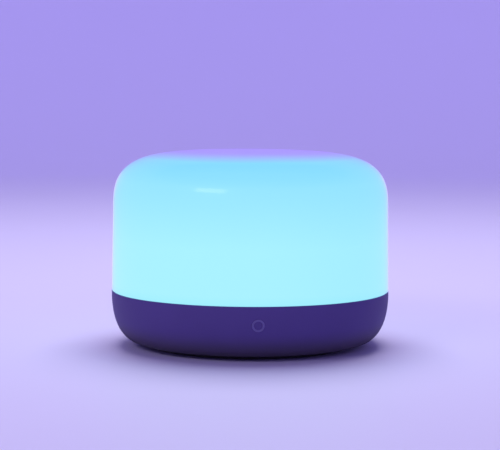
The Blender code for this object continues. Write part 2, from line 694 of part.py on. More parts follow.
def make_driver_board(paint):
    half = BOARD_WIDTH / 2
    tongue = BOARD_TONGUE_WIDTH / 2
    end = jack_face() - JACK_BOARD_OVERHANG
    outline = [(-half, -BOARD_FRONT), (half, -BOARD_FRONT), (half, BOARD_REAR), (tongue, BOARD_REAR)]
    outline += [(tongue, end), (-tongue, end), (-tongue, BOARD_REAR), (-half, BOARD_REAR)]
    board = plate("driver_board", outline, BOARD_THICKNESS, paint["green_board"])
    board.location.z = BOARD_UNDERSIDE
    hole = SCREW_M2[0] + SCREW_CLEARANCE
    ends = (BOARD_UNDERSIDE - GAP, BOARD_TOP + GAP)
    cut_holes(board, "board_hole", hole, *ends, board_screw_places())
    return board


def make_board_parts(paint):
    """Everything soldered to the driver board, apart from the jack."""
    for name, (size, (x, y), finish, bevel) in BOARD_BLOCKS.items():
        box(name, size, (x, y, PARTS_FLOOR), paint[finish], bevel=bevel)
    size, (x, y) = SHIELD_SIZE, SHIELD_AT
    pad_size = (size[0] + 2 * GAP, size[1] + 2 * GAP, 2 * SHIELD_PAD)
    radio_top = BOARD_BLOCKS["wifi_module"][0][2]
    pad = box("shield_pad", pad_size, (x, y, PARTS_FLOOR + radio_top - SHIELD_PAD), None)
    add(bpy.data.objects["wifi_module"], pad)
    lid_height = PARTS_FLOOR + radio_top + SHIELD_PAD + SOLDER_GAP
    box("wifi_shield", size, (x, y, lid_height), paint["steel"], bevel=SHIELD_PAD)
    room = PARTS_CEILING - PARTS_FLOOR
    for number, (radius, share, y) in enumerate(CAPACITORS, 1):
        height = room * share
        waist = radius - CAN_GROOVE
        can = [(0, 0), (radius, 0), (radius, 2 * CAN_GROOVE), (waist, 3 * CAN_GROOVE)]
        can += [(radius, 4 * CAN_GROOVE), (radius, height), (0, height)]
        at = (CAPACITOR_X, y, PARTS_FLOOR)
        turned(f"capacitor_{number}", can, paint["capacitor"], SMALL_SEGMENTS, at=at)


def make_power_jack(paint):
    width, length, height = JACK_SIZE
    face = jack_face()
    jack = box("power_jack", JACK_SIZE, (0, face - length / 2, PARTS_FLOOR), paint["chip"])
    bore = disc(JACK_BORE_RADIUS, face - JACK_BORE_DEPTH, face + GAP)
    cutter = turned("jack_bore", bore, None, SMALL_SEGMENTS)
    cutter.matrix_world = socket_axis()
    cut(jack, cutter)
    root = face - JACK_BORE_DEPTH + GAP
    tip = face - JACK_PIN_SETBACK
    round_over = JACK_PIN_RADIUS / 2
    outline = [(0, root), (JACK_PIN_RADIUS, root), (JACK_PIN_RADIUS, tip - round_over)]
    outline += [(JACK_PIN_RADIUS - round_over, tip), (0, tip)]
    pin = turned("power_jack_pin", outline, paint["brass"], SCREW_SEGMENTS)
    pin.matrix_world = socket_axis()


# ---------------------------------------------------------------- button
def make_press_axis():
    """An empty at the middle of the button's face. Its +Z points inwards, square to the wall."""
    height = SEAM_HEIGHT - BUTTON_BELOW_SEAM
    step = BASE_WALL / 10
    slope = (base_radius_at(height + step) - base_radius_at(height - step)) / (2 * step)
    lean = math.atan(slope)
    axis = bpy.data.objects.new("press_axis", None)
    bpy.context.scene.collection.objects.link(axis)
    inwards = Vector((0, math.cos(lean), math.sin(lean)))
    across = Vector((1, 0, 0))
    turn = Matrix((across, inwards.cross(across), inwards)).transposed().to_4x4()
    axis.matrix_world = Matrix.Translation((0, -base_radius_at(height), height)) @ turn
    return axis


def make_button(paint, axis):
    flange = RING_OUTER + RING_FLANGE
    flange_front = BASE_WALL + GAP
    ring = [(RING_INNER, 0), (RING_OUTER, 0), (RING_OUTER, flange_front)]
    ring += [(flange, flange_front), (flange, RING_BACK), (RING_INNER, RING_BACK)]
    turned("button_ring", ring, paint["ring_inlay"], SMALL_SEGMENTS, axis)

    edge = BUTTON_RADIUS / 10
    cap = [(0, 0), (BUTTON_RADIUS - edge, 0), (BUTTON_RADIUS, edge), (BUTTON_RADIUS, SHOULDER_FRONT)]
    cap += [(SHOULDER_RADIUS, SHOULDER_FRONT), (SHOULDER_RADIUS, SHOULDER_BACK)]
    cap += [(STEM_RADIUS, SHOULDER_BACK), (STEM_RADIUS, STEM_END), (0, STEM_END)]
    turned("power_button", cap, paint["grey_shell"], SMALL_SEGMENTS, axis)

    turns = int(SPRING_TURNS * 10)
    coil = []
    length = SPRING_LENGTH - 2 * SPRING_WIRE_RADIUS
    for step in range(turns + 1):
        angle = 2 * math.pi * SPRING_TURNS * step / turns
        depth = SPRING_START + SPRING_WIRE_RADIUS + length * step / turns
        coil.append((*around(SPRING_RADIUS, math.degrees(angle)), depth))
    wire("button_spring", coil, SPRING_WIRE_RADIUS, paint["steel"], axis, resolution=0)
    make_button_guide(paint, axis)
    make_switch(paint, axis)


def make_button_guide(paint, axis):
    """A cup that guides the shoulder and holds the spring, on two screwed pillars."""
    hole = STEM_RADIUS + GAP
    cup = [(GUIDE_BORE, SHOULDER_FRONT), (GUIDE_OUTER, SHOULDER_FRONT), (GUIDE_OUTER, GUIDE_BACK)]
    cup += [(hole, GUIDE_BACK), (hole, GUIDE_FLOOR), (GUIDE_BORE, GUIDE_FLOOR)]
    guide = turned("button_guide", cup, paint["white_plastic"], SMALL_SEGMENTS, axis)
    boss_end = BASE_WALL / 2 + BUTTON_BOSS_LENGTH + GAP
    pillar_end = BUTTON_BOARD_FRONT - GAP
    pilot = SCREW_M2[0] + SCREW_CLEARANCE
    web_front = GUIDE_FLOOR + GAP / 2
    web_depth = GUIDE_FLOOR_THICKNESS - GAP
    for number, side in enumerate((-1, 1), 1):
        x = side * BUTTON_SCREW_SPACING / 2
        reach = BUTTON_SCREW_SPACING / 2 - GUIDE_BORE
        web_at = (side * (GUIDE_BORE + reach / 2), 0, web_front)
        web_size = (reach, BUTTON_PILLAR_RADIUS * 1.4, web_depth)
        add(guide, box(f"guide_web_{number}", web_size, web_at, None, axis))
        pillar = disc(BUTTON_PILLAR_RADIUS, boss_end, pillar_end)
        add(guide, turned(f"guide_pillar_{number}", pillar, None, SMALL_SEGMENTS, axis, (x, 0, 0)))
    spread = [(side * BUTTON_SCREW_SPACING / 2, 0) for side in (-1, 1)]
    cut_holes(guide, "guide_hole", pilot, boss_end - GAP, pillar_end + GAP, spread, axis)


def make_switch(paint, axis):
    body_at = (0, 0, SWITCH_FRONT)
    body = box("tact_switch", (SWITCH_SIDE, SWITCH_SIDE, SWITCH_HEIGHT), body_at, paint["chip"], axis)
    well = PLUNGER_FRONT + PLUNGER_LENGTH + BUTTON_TRAVEL + GAP
    cutter = disc(PLUNGER_RADIUS + GAP, SWITCH_FRONT - GAP, well)
    cut(body, turned("switch_well", cutter, None, SCREW_SEGMENTS, axis))
    plunger = disc(PLUNGER_RADIUS, PLUNGER_FRONT, PLUNGER_FRONT + PLUNGER_LENGTH)
    turned("switch_plunger", plunger, paint["connector"], SCREW_SEGMENTS, axis)
    at = (0, 0, BUTTON_BOARD_FRONT)
    board = box("button_board", BUTTON_BOARD_SIZE, at, paint["green_board"], axis)
    spread = [(side * BUTTON_SCREW_SPACING / 2, 0) for side in (-1, 1)]
    ends = (BUTTON_BOARD_FRONT - GAP, BUTTON_BOARD_BACK + GAP)
    cut_holes(board, "button_board_hole", SCREW_M2[0] + SCREW_CLEARANCE, *ends, spread, axis)


# ---------------------------------------------------------------- screws and leads
def screw_mesh(name, kind, length):
    """A pan-head screw, its head's underside at Z = 0 and its shank along -Z."""
    shank, head, head_height = kind
    rounding = head_height / 3
    outline = [(0, -length), (shank, -length), (shank, 0), (head, 0)]
    outline += [(head, head_height - rounding), (head - rounding, head_height), (0, head_height)]
    return turned_mesh(name, outline, SCREW_SEGMENTS)


def screws(label, kind, length, places, height, material, pointing_up=False, parent=None):
    """Screws at each (x, y) place, with the heads' undersides at one height."""
    shared = screw_mesh(label, kind, length)
    shared.materials.append(material)
    slot_width = kind[1] / 3
    slot_size = (kind[1] * 1.3, slot_width, kind[2])
    for number, (x, y) in enumerate(places, 1):
        node = link(f"{label}_{number}", shared, None, parent)
        node.location = (x, y, height)
        if pointing_up:
            node.rotation_euler.x = math.pi
        for quarter in range(2):
            name = f"{label}_{number}_slot_{quarter + 1}"
            slot = box(name, slot_size, (0, 0, kind[2] / 2), None, node)
            slot.rotation_euler.z = quarter * math.pi / 2
            cut(node, slot)


def make_screws(paint, axis):
    steel = paint["steel"]
    columns = [around(COLUMN_CENTRE, degrees) for degrees in COLUMN_ANGLES]
    recess = COVER_UNDERSIDE + SCREW_M3[2]
    screws("cover_screw", SCREW_M3, THREAD_LENGTH, columns, recess, steel, pointing_up=True)
    screws("deck_screw", SCREW_M3, THREAD_LENGTH + SINK_THICKNESS, columns, DECK_TOP + GAP, steel)
    screws("board_screw", SCREW_M2, STANDOFF, board_screw_places(), BOARD_TOP + GAP, steel)
    grip = LED_BOARD_TOP - SINK_UNDERSIDE
    screws("led_board_screw", SCREW_M2, grip, led_screw_places(), LED_BOARD_TOP + GAP, steel)
    spread = [(side * BUTTON_SCREW_SPACING / 2, 0) for side in (-1, 1)]
    long = BUTTON_BOARD_BACK - BASE_WALL - 2 * GAP
    head = BUTTON_BOARD_BACK + GAP
    screws("button_screw", SCREW_M2, long, spread, head, steel, parent=axis)


def lead(name, route, radius, material):
    """A lead that leaves both of its ends straight, and is a smooth curve between them."""
    wire(name, [route[0], *smooth_route(route[1:-1]), route[-1]], radius, material)


def make_leads(paint, axis):
    """The two internal leads, from the driver board to the packages and to the button."""
    up = Vector((0, 0, LEAD_STUB))
    size, place = BOARD_BLOCKS["led_connector"][:2]
    start = Vector((*place, PARTS_FLOOR + size[2] + GAP))
    hole_low = Vector((*around(LEAD_HOLE_CENTRE, LEAD_HOLE_ANGLE), SINK_UNDERSIDE))
    socket = around(LED_BOARD_RADIUS - LED_SOCKET_INSET, LEAD_HOLE_ANGLE)
    socket_foot = LED_BOARD_TOP + SOLDER_GAP
    end = Vector((*socket, socket_foot + LED_SOCKET_SIZE[2] + GAP))
    bend = start.lerp(hole_low, 0.5)
    bend.z = start.z + 3 * up.z
    route = [start, start + up, start + 2.5 * up, bend, hole_low - 2 * up, hole_low + 2 * up]
    above_hole, crest = hole_low.copy(), end.lerp(hole_low, 0.4)
    for point in (above_hole, crest):
        point.z = dome_ceiling(point.xy.length) - LEAD_BELOW_DOME
    route += [above_hole, crest, end + 1.5 * up, end + up / 2, end]
    lead("led_lead", route, LED_LEAD_RADIUS, paint["cable"])
    block = box("led_socket", LED_SOCKET_SIZE, (*socket, socket_foot), paint["connector"])
    block.rotation_euler.z = math.radians(LEAD_HOLE_ANGLE)

    inner_end = axis.matrix_world @ Vector((0, 2 * LEAD_STUB, BUTTON_BOARD_BACK + GAP))
    inwards = axis.matrix_world.to_3x3() @ up
    size, (x, y) = BOARD_BLOCKS["button_connector"][:2]
    outer_end = Vector((x, y - size[1] / 2 - GAP, PARTS_FLOOR + size[2] / 2))
    forward = Vector((0, -LEAD_STUB, 0))
    route = [inner_end, inner_end + inwards, inner_end + 5 * inwards]
    route += [inner_end.lerp(outer_end, 0.5) - 2 * up, outer_end + 7 * forward]
    route += [outer_end + 2 * forward, outer_end]
    lead("button_lead", route, BUTTON_LEAD_RADIUS, paint["cable"])


def main():
    for old in list(bpy.data.objects):
        bpy.data.objects.remove(old)
    paint = make_materials()
    axis = make_press_axis()
    bpy.context.view_layer.update()
    make_shade(paint)
    make_base_shell(paint, axis)
    make_socket_bezel(paint)
    make_gasket(paint)
    make_bottom_cover(paint)
    make_foot_ring(paint)
    make_deck(paint)
    make_heat_sink(paint)
    make_light_source(paint)
    make_mixing_dome(paint)
    make_driver_board(paint)
    make_board_parts(paint)
    make_power_jack(paint)
    make_button(paint, axis)
    make_screws(paint, axis)
    make_leads(paint, axis)


main()
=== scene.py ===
"""Looks of a smart bedside lamp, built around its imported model.

Metres. The origin is at the middle of the footprint, on the table. +Z is up, and the
button faces -Y. The file is laid out as an add-on: one operator makes each group of
pieces, one makes the stage, and main() calls them in order.
"""

import json
import math

import bmesh
import bpy
from bpy.props import FloatProperty, FloatVectorProperty, IntProperty, PointerProperty
from mathutils import Matrix, Vector


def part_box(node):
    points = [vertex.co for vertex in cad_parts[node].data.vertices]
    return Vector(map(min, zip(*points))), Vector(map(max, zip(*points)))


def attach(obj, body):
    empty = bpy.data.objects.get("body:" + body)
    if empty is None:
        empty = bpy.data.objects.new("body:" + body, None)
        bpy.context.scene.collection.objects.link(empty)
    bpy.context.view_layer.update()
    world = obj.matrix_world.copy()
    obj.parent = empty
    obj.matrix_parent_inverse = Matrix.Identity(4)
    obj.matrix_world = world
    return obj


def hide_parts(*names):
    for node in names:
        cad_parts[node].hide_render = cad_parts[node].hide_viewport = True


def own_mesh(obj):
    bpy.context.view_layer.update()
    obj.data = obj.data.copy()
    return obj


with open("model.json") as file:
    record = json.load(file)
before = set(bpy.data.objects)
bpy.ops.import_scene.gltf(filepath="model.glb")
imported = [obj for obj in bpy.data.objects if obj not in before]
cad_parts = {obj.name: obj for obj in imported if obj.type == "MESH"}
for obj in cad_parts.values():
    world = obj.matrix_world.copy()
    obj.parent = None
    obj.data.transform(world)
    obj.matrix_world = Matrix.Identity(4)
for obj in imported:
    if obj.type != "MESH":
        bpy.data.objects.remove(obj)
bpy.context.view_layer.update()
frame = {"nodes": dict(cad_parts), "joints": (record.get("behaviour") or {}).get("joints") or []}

bl_info = {
    "name": "Bedside Lamp Looks",
    "version": (1, 0, 0),
    "blender": (4, 5, 0),
    "location": "View3D > Sidebar > Lamp",
    "description": "Makes the fine surfaces, the finishes and the stage of a bedside lamp",
    "category": "Object",
}

# ---------------------------------------------------------------- levels and radii of the frame
BODY_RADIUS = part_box("shade")[1].x
BODY_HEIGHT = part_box("shade")[1].z
TONGUE_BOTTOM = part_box("shade")[0].z
RIM_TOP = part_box("base_shell")[1].z
BASE_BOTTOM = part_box("base_shell")[0].z
COVER_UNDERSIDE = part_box("bottom_cover")[0].z
COVER_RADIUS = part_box("bottom_cover")[1].x
FOOT_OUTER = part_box("foot_ring")[1].x
FOOT_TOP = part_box("foot_ring")[1].z
DECK_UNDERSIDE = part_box("light_deck")[0].z
DECK_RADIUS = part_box("light_deck")[1].x
LED_BOARD_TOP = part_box("led_board")[1].z
LED_BOARD_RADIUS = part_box("led_board")[1].x
SINK_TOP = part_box("heat_sink")[1].z
DOME_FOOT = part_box("mixing_dome")[0].z
DOME_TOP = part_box("mixing_dome")[1].z
DOME_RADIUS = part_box("mixing_dome")[1].x

# Clearances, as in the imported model
GAP = 0.0003
SEAM_GAP = 0.0004
SEAM = RIM_TOP + SEAM_GAP
LINE_GAP = 0.00013  # between the bowl and the ring

# Shapes that a box doesn't tell
DOME_WALL = 0.0015
WINDOW_RADIUS = DOME_RADIUS - 0.002  # the hole in the deck, under the dome
DECK_THICKNESS = 0.0016
DECK_COLLAR = (0.0014, 0.0020)  # thickness, height
SINK_PLATE = 0.0020  # thickness, without the rings under it
SINK_RINGS = 3
SINK_RING_PITCH = 0.008
SINK_RING_WALL = 0.0016
LEAD_HOLE_RADIUS = 0.003
LEAD_HOLE_ANGLE = 300  # degrees, as all angles here
TONGUE_THICKNESS = 0.0011
RIM_WALL = 0.0010
REBATE_FLOOR = TONGUE_BOTTOM - 0.0016
BASE_LIP = 0.004
LUG_COUNT = 6
LUG_SIZE = (0.0022, 0.010, 0.0014)
COLUMN_ANGLES = (35, 145, 215, 325)
COLUMN_CENTRE = COVER_RADIUS - 0.0157
COLUMN_RADIUS = 0.0040
COLUMN_FOOT = COVER_UNDERSIDE + 0.0027
COLUMN_TOP = SINK_TOP - SINK_PLATE - GAP
RIB_THICKNESS = 0.0024
RIB_MARGIN = 0.0018  # kept clear above the bowl's floor and below the rebate
COVER_THICKNESS = 0.0024
COVER_GROOVE = 0.0012  # depth of the foot ring's groove
PANEL_RADIUS = 0.030  # the shallow round panel in the cover's middle
PANEL_DEPTH = 0.0004
RECESS_CHAMFER = 0.0006
RECESS_BELOW = 0.0005  # how far the recess cutter stands out under the cover
FOOT_WIDTH = 0.008
FOOT_EDGE = 0.0009
TREAD_HALF_WIDTH = 0.0005  # half of each groove in the foot's tread
TREAD_DEPTH = 0.0006
TREAD_SHARES = (0.36, 0.64)  # where the grooves lie across the foot
STANDOFF_RADIUS = 0.0035
STANDOFF_HEIGHT = 0.0067
STANDOFF_FOOT = 0.0012  # how far a standoff reaches into the cover
STANDOFF_SIDE = 0.020
STANDOFF_FRONT = -0.026
STANDOFF_BACK = 0.030
STANDOFF_PLACES = [(x, y) for y in (STANDOFF_FRONT, STANDOFF_BACK) for x in (-STANDOFF_SIDE, STANDOFF_SIDE)]
PILOT_DEPTH = 0.011
LED_RING = 0.033
LED_COUNT = 5
PACKAGE_SIDE = 0.0035
PACKAGE_HEIGHT = 0.0014
CUP_DEPTH = 0.00022
FILL_LEVEL = (0.00145, 0.00150)  # above the board, where a package's frame turns into its fill
LED_SCREW_RING = 0.039
LED_SCREW_ANGLES = (30, 150, 270)
CAN_GROOVE = 0.0004
CAN_LIP = 0.0002
CAN_LIP_SHARE = 0.82  # the lip's inner radius, as a share of the can's

# The press axis, with depths counted inwards from the button's face
BUTTON_BELOW_SEAM = 0.0134  # a height, not a depth
FLANGE_FRONT = 0.0029
FLANGE_BACK = 0.0037
FLANGE_RADIUS = 0.0052
SHOULDER_RADIUS = 0.0040
SHOULDER_FRONT = 0.0040
SHOULDER_BACK = 0.0050
STEM_RADIUS = 0.0015
STEM_END = 0.0118
SPRING_START = 0.0053
SPRING_LENGTH = 0.0032
BUTTON_BOARD_BACK = 0.0172
BUTTON_SCREW_SPREAD = 0.020
BOSS_RADIUS = 0.0028
BOSS_LENGTH = 0.0050
RING_EDGE = 0.00012
CAP_LAND = 0.00020  # the level band around the cap's hollow
HOLE_FLARE = 0.0022  # how far the button's hole widens in front of the bowl
FLANGE_POCKET = 0.0058  # radius of the pocket behind the bowl, for the ring's flange

# The power socket, on an axis along +Y
JACK_SIZE = (0.009, 0.0144, 0.0110)
JACK_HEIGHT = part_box("power_jack")[0].z + 0.0068
JACK_BORE = 0.00315
JACK_BORE_DEPTH = 0.0095
JACK_CHAMFER = 0.0006
JACK_LEAD_IN = 0.0004
JACK_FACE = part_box("power_jack")[1].y
SOCKET_FLOOR = JACK_FACE + GAP + 0.0020
SOCKET_RADIUS = 0.0065
SOCKET_MOUTH = 0.0045
COLLAR_INSET = 0.00010  # how far the collar ends inside the bowl's skin
BEZEL_RADIUS = 0.0085
OUTSIDE = BODY_RADIUS + 0.003  # past the bowl's skin

# Screws: shank radius, head radius, head height
SCREW_M3 = (0.0014, 0.0029, 0.0013)
SCREW_M2 = (0.0010, 0.0020, 0.0010)
COVER_SCREW_LENGTH = 0.009
DECK_SCREW_LENGTH = 0.011
LED_SCREW_LENGTH = 0.0040
BOARD_SCREW_LENGTH = 0.0067

# The stage
FLOOR_RADIUS = 2.2
SWEEP_RADIUS = 1.6
BACKDROP_TOP = 3.4
BACKDROP_THICKNESS = 0.1
KEY_PLACE = (-1.05, -1.30, 1.10)
KEY_SIZE = (0.80, 0.34)
TOP_PLACE = (0.05, 0.50, 1.55)
TOP_SIZE = (1.2, 1.2)

# Smoothness
SEGMENTS = 256
MEDIUM_SEGMENTS = 96
COLUMN_SEGMENTS = 48
SCREW_SEGMENTS = 32
STAGE_SEGMENTS = 128
CURVE_STEPS = 44
DOME_STEPS = 24
DISH_STEPS = 8
FILLET_STEPS = 4
TOP_RINGS = 6
WALL_RINGS = 12
STAGE_STEPS = 16
FLOOR_RINGS = 12
NOTHING = 1e-9  # a radius under this is the axis
WELD = 4e-6  # points nearer than this are one


# ---------------------------------------------------------------- settings
def length(name, description, default):
    return FloatProperty(
        name=name, description=description, default=default, min=0.0, unit="LENGTH", precision=5
    )


def number(name, description, default):
    return FloatProperty(name=name, description=description, default=default, min=0.0, precision=3)


def rotation(name, description, degrees):
    default = math.radians(degrees)
    return FloatProperty(name=name, description=description, default=default, subtype="ANGLE")


def colour(name, description, default):
    return FloatVectorProperty(
        name=name, description=description, default=default, size=3, min=0.0, max=1.0, subtype="COLOR"
    )


class ShadeLooks(bpy.types.PropertyGroup):
    wall: length("Wall", "Thickness of the opal shade", 0.0024)
    corner_across: length("Corner Across", "Radial reach of the rounded shoulder", 0.075)
    corner_height: length("Corner Height", "Height of the rounded shoulder", 0.044)
    corner_power: number("Corner Power", "Squareness of the rounded shoulder", 3.45)
    crown: length("Crown", "How far the top bulges", 0.0008)
    draft: number("Draft", "Inward lean of the wall, per unit of height", 0.016)
    edge: length("Edge", "Rounding of the lower edge", 0.0004)
    # The level top's colour: partly the lamp's own light, partly a painted lilac reflection.
    top_glow_with_painted_reflection: colour("Top Glow And Painted Reflection", "Light of the level top", (0.305, 0.350, 0.880))
    glow_shoulder: colour("Shoulder Glow", "Light of the rounded shoulder", (0.200, 0.665, 0.900))
    glow_middle: colour("Middle Glow", "Light of the upright wall", (0.375, 0.860, 0.900))
    glow_foot: colour("Foot Glow", "Light just above the seam", (0.335, 0.835, 0.900))


class BaseLooks(bpy.types.PropertyGroup):
    wall: length("Wall", "Thickness of the bowl", 0.0026)
    corner_across: length("Corner Across", "Radial reach of the bowl's rounding", 0.021)
    corner_power: number("Corner Power", "Squareness of the bowl's rounding", 2.32)
    edge: length("Edge", "Rounding of the rim", 0.0003)
    shell_colour: colour("Shell Colour", "Moulded colour of the bowl", (0.084, 0.057, 0.205))
    cover_colour: colour("Cover Colour", "Moulded colour of the underside", (0.020, 0.019, 0.026))
    # Painted shade: the colour that the bowl fades to towards its bottom, where it turns under.
    painted_underside_shade: colour("Painted Underside Shade", "Painted shade where the bowl turns under", (0.075, 0.060, 0.095))
    grain: length("Grain", "Size of the spark-eroded texture", 0.00035)


class ButtonLooks(bpy.types.PropertyGroup):
    ring_inner: length("Ring Inner", "Inner radius of the ring", 0.0031)
    ring_outer: length("Ring Outer", "Outer radius of the ring", 0.0042)
    cap: length("Cap", "Radius of the button's cap", 0.00297)
    dish: length("Dish", "Depth of the hollow in the cap", 0.00018)
    ring_colour: colour("Ring Colour", "Colour of the ring", (0.135, 0.103, 0.300))
    spring_turns: number("Spring Turns", "Turns of the return spring", 3.5)
    spring_wire: length("Spring Wire", "Radius of the spring's wire", 0.00025)
    spring_radius: length("Spring Radius", "Radius of the spring at its wire's middle", 0.0030)


class StageLooks(bpy.types.PropertyGroup):
    floor_colour: colour("Floor Colour", "Colour of the table top", (0.58, 0.54, 0.74))
    wall_glow: colour("Wall Glow", "Light that the far sweep gives off", (0.22, 0.18, 0.46))
    room_colour: colour("Room Colour", "Colour of the light from all round", (0.52, 0.49, 0.84))
    room_strength: number("Room Strength", "Strength of the light from all round", 0.16)
    key_power: number("Key Power", "Watts of the front softbox", 6.0)
    top_power: number("Top Power", "Watts of the overhead softbox", 30.0)
    camera_distance: length("Camera Distance", "From the lamp's axis, level", 1.307)
    camera_height: length("Camera Height", "Above the table", 0.1976)
    camera_azimuth: rotation("Camera Azimuth", "Turn about the lamp", -3.256)
    camera_pitch: rotation("Camera Pitch", "Downward tilt", 4.861)
    camera_roll: rotation("Camera Roll", "Turn about the view axis", 0.313)
    lens: FloatProperty(name="Lens", description="Focal length in millimetres", default=130.68, min=1.0)
    shift: FloatProperty(name="Shift", description="Sideways lens shift, in frame widths", default=-0.001)


class LampLooks(bpy.types.PropertyGroup):
    shade: PointerProperty(type=ShadeLooks)
    base: PointerProperty(type=BaseLooks)
    button: PointerProperty(type=ButtonLooks)
    stage: PointerProperty(type=StageLooks)
    segments: IntProperty(
        name="Segments", description="Faces around each large turned piece", default=SEGMENTS, min=24
    )


# ---------------------------------------------------------------- node trees
class Signal:
    """A socket of a tree. Arithmetic on it adds Math nodes."""

    def __init__(self, tree, socket):
        self.tree = tree
        self.socket = socket

    def __add__(self, other):
        return self.tree.maths("ADD", self, other)

    def __radd__(self, other):
        return self.tree.maths("ADD", other, self)

    def __sub__(self, other):
        return self.tree.maths("SUBTRACT", self, other)

    def __rsub__(self, other):
        return self.tree.maths("SUBTRACT", other, self)

    def __mul__(self, other):
        return self.tree.maths("MULTIPLY", self, other)

    def __rmul__(self, other):
        return self.tree.maths("MULTIPLY", other, self)

    def __truediv__(self, other):
        return self.tree.maths("DIVIDE", self, other)

    def __rtruediv__(self, other):
        return self.tree.maths("DIVIDE", other, self)

class Tree:
    """Adds nodes to a node tree."""

    def __init__(self, nodes_of):
        self.tree = nodes_of

    def node(self, kind, settings=None, values=None, output=0):
        """A node of this kind: its settings first, then the values or links of its sockets."""
        made = self.tree.nodes.new(kind)
        for key, value in (settings or {}).items():
            if key == "stops":
                self.set_stops(made.color_ramp, value)
            else:
                setattr(made, key, value)
        for key, value in (values or {}).items():
            self.feed(made.inputs[key], value)
        return Signal(self, made.outputs[output])

    def feed(self, socket, value):
        if isinstance(value, Signal):
            self.tree.links.new(value.socket, socket)
        else:
            socket.default_value = value

    def set_stops(self, ramp, stops):
        while len(ramp.elements) < len(stops):
            ramp.elements.new(1.0)
        for element, (place, tint) in zip(ramp.elements, stops):
            element.position = place
            element.color = (*tint, 1.0)

    def maths(self, operation, *values):
        return self.node("ShaderNodeMath", {"operation": operation}, dict(enumerate(values)))


class Finish(Tree):
    """A procedural material on Object coordinates."""

    def __init__(self, name, **constants):
        self.material = bpy.data.materials.new(name)
        self.material.use_nodes = True
        super().__init__(self.material.node_tree)
        self.shader = self.tree.nodes["Principled BSDF"]
        self.place = self.node("ShaderNodeTexCoord", output="Object")
        for key, value in constants.items():
            self.shader.inputs[key.replace("_", " ")].default_value = value

    def axis(self, letter):
        return self.node("ShaderNodeSeparateXYZ", None, {0: self.place}, letter)

    def noise(self, size, detail=2.0, stretch=(1, 1, 1)):
        """Soft noise from 0 to 1 with features of this size, stretched along each axis."""
        scaled = self.node("ShaderNodeMapping", None, {"Vector": self.place, "Scale": stretch})
        values = {"Vector": scaled, "Scale": 1 / size, "Detail": detail, "Roughness": 0.55}
        return self.node("ShaderNodeTexNoise", None, values, "Fac")

    def ramp(self, factor, *stops):
        return self.node("ShaderNodeValToRGB", {"stops": stops}, {0: factor})

    def smooth(self, value, low, high):
        """0 below one value and 1 above the other."""
        values = {"Value": value, "From Min": low, "From Max": high}
        return self.node("ShaderNodeMapRange", {"interpolation_type": "SMOOTHSTEP"}, values)

    def mix(self, factor, first, second):
        first, second = [c if isinstance(c, Signal) else (*c, 1.0) for c in (first, second)]
        values = {0: factor, 6: first, 7: second}
        return self.node("ShaderNodeMix", {"data_type": "RGBA"}, values, 2)

    def set(self, **links):
        for key, value in links.items():
            self.feed(self.shader.inputs[key.replace("_", " ")], value)
        return self

    def bump(self, height, distance, strength=0.5):
        values = {"Height": height, "Distance": distance, "Strength": strength}
        return self.set(Normal=self.node("ShaderNodeBump", None, values, "Normal"))


class Recipe(Tree):
    """A Geometry Nodes tree with named inputs, which makes one plain mesh."""

    def __init__(self, name, **inputs):
        super().__init__(bpy.data.node_groups.new(name, "GeometryNodeTree"))
        sockets = self.tree.interface
        sockets.new_socket("Geometry", in_out="OUTPUT", socket_type="NodeSocketGeometry")
        for label, kind in {**inputs, "Finish": "Material"}.items():
            sockets.new_socket(label, in_out="INPUT", socket_type="NodeSocket" + kind)
        self.source = self.tree.nodes.new("NodeGroupInput")
        self.result = self.tree.nodes.new("NodeGroupOutput")

    def input(self, label):
        return Signal(self, self.source.outputs[label])

    def finish(self, geometry):
        realised = self.node("GeometryNodeRealizeInstances", None, {"Geometry": geometry})
        values = {"Geometry": realised, "Material": self.input("Finish")}
        painted = self.node("GeometryNodeSetMaterial", None, values)
        self.tree.links.new(painted.socket, self.result.inputs[0])
        return self

    def build(self, name, finish, **values):
        piece = link(name, bpy.data.meshes.new(name))
        step = piece.modifiers.new("recipe", "NODES")
        step.node_group = self.tree
        values["Finish"] = finish.material
        for item in self.tree.interface.items_tree:
            if item.in_out == "INPUT":
                step[item.identifier] = values[item.name]
        return plain(piece)


# ---------------------------------------------------------------- mesh tools
def link(name, mesh):
    piece = bpy.data.objects.new(name, mesh)
    bpy.context.scene.collection.objects.link(piece)
    return piece


def plain(piece):
    """Turns the evaluated piece into a plain mesh without modifiers."""
    graph = bpy.context.evaluated_depsgraph_get()
    mesh = bpy.data.meshes.new_from_object(piece.evaluated_get(graph))
    piece.modifiers.clear()
    piece.data = mesh
    mesh.name = piece.name
    return piece


def to_mesh(bm, name):
    bmesh.ops.recalc_face_normals(bm, faces=bm.faces)
    mesh = bpy.data.meshes.new(name)
    bm.to_mesh(mesh)
    bm.free()
    return mesh


def fillet(before, at, after, radius):
    """The arc that rounds one corner of an outline."""
    at = Vector(at)
    back = (Vector(before) - at).normalized()
    ahead = (Vector(after) - at).normalized()
    half = back.angle(ahead) / 2
    centre = at + (back + ahead).normalized() * radius / math.sin(half)
    first = at + back * radius / math.tan(half) - centre
    last = at + ahead * radius / math.tan(half) - centre
    turn = math.pi - 2 * half
    arc = []
    for step in range(FILLET_STEPS + 1):
        share = step / FILLET_STEPS
        blend = first * math.sin((1 - share) * turn) + last * math.sin(share * turn)
        arc.append(tuple(centre + blend / math.sin(turn)))
    return arc


def rounded(outline):
    """A closed outline whose (radius, height, rounding) points become arcs."""
    points = []
    for index, point in enumerate(outline):
        if len(point) == 2:
            points.append(tuple(point))
            continue
        before = outline[index - 1][:2]
        after = outline[(index + 1) % len(outline)][:2]
        points += fillet(before, point[:2], after, point[2])
    return points


def straight(start, end, count):
    """Points between two ends, without the ends."""
    first, last = Vector(start), Vector(end)
    return [tuple(first.lerp(last, step / count)) for step in range(1, count)]


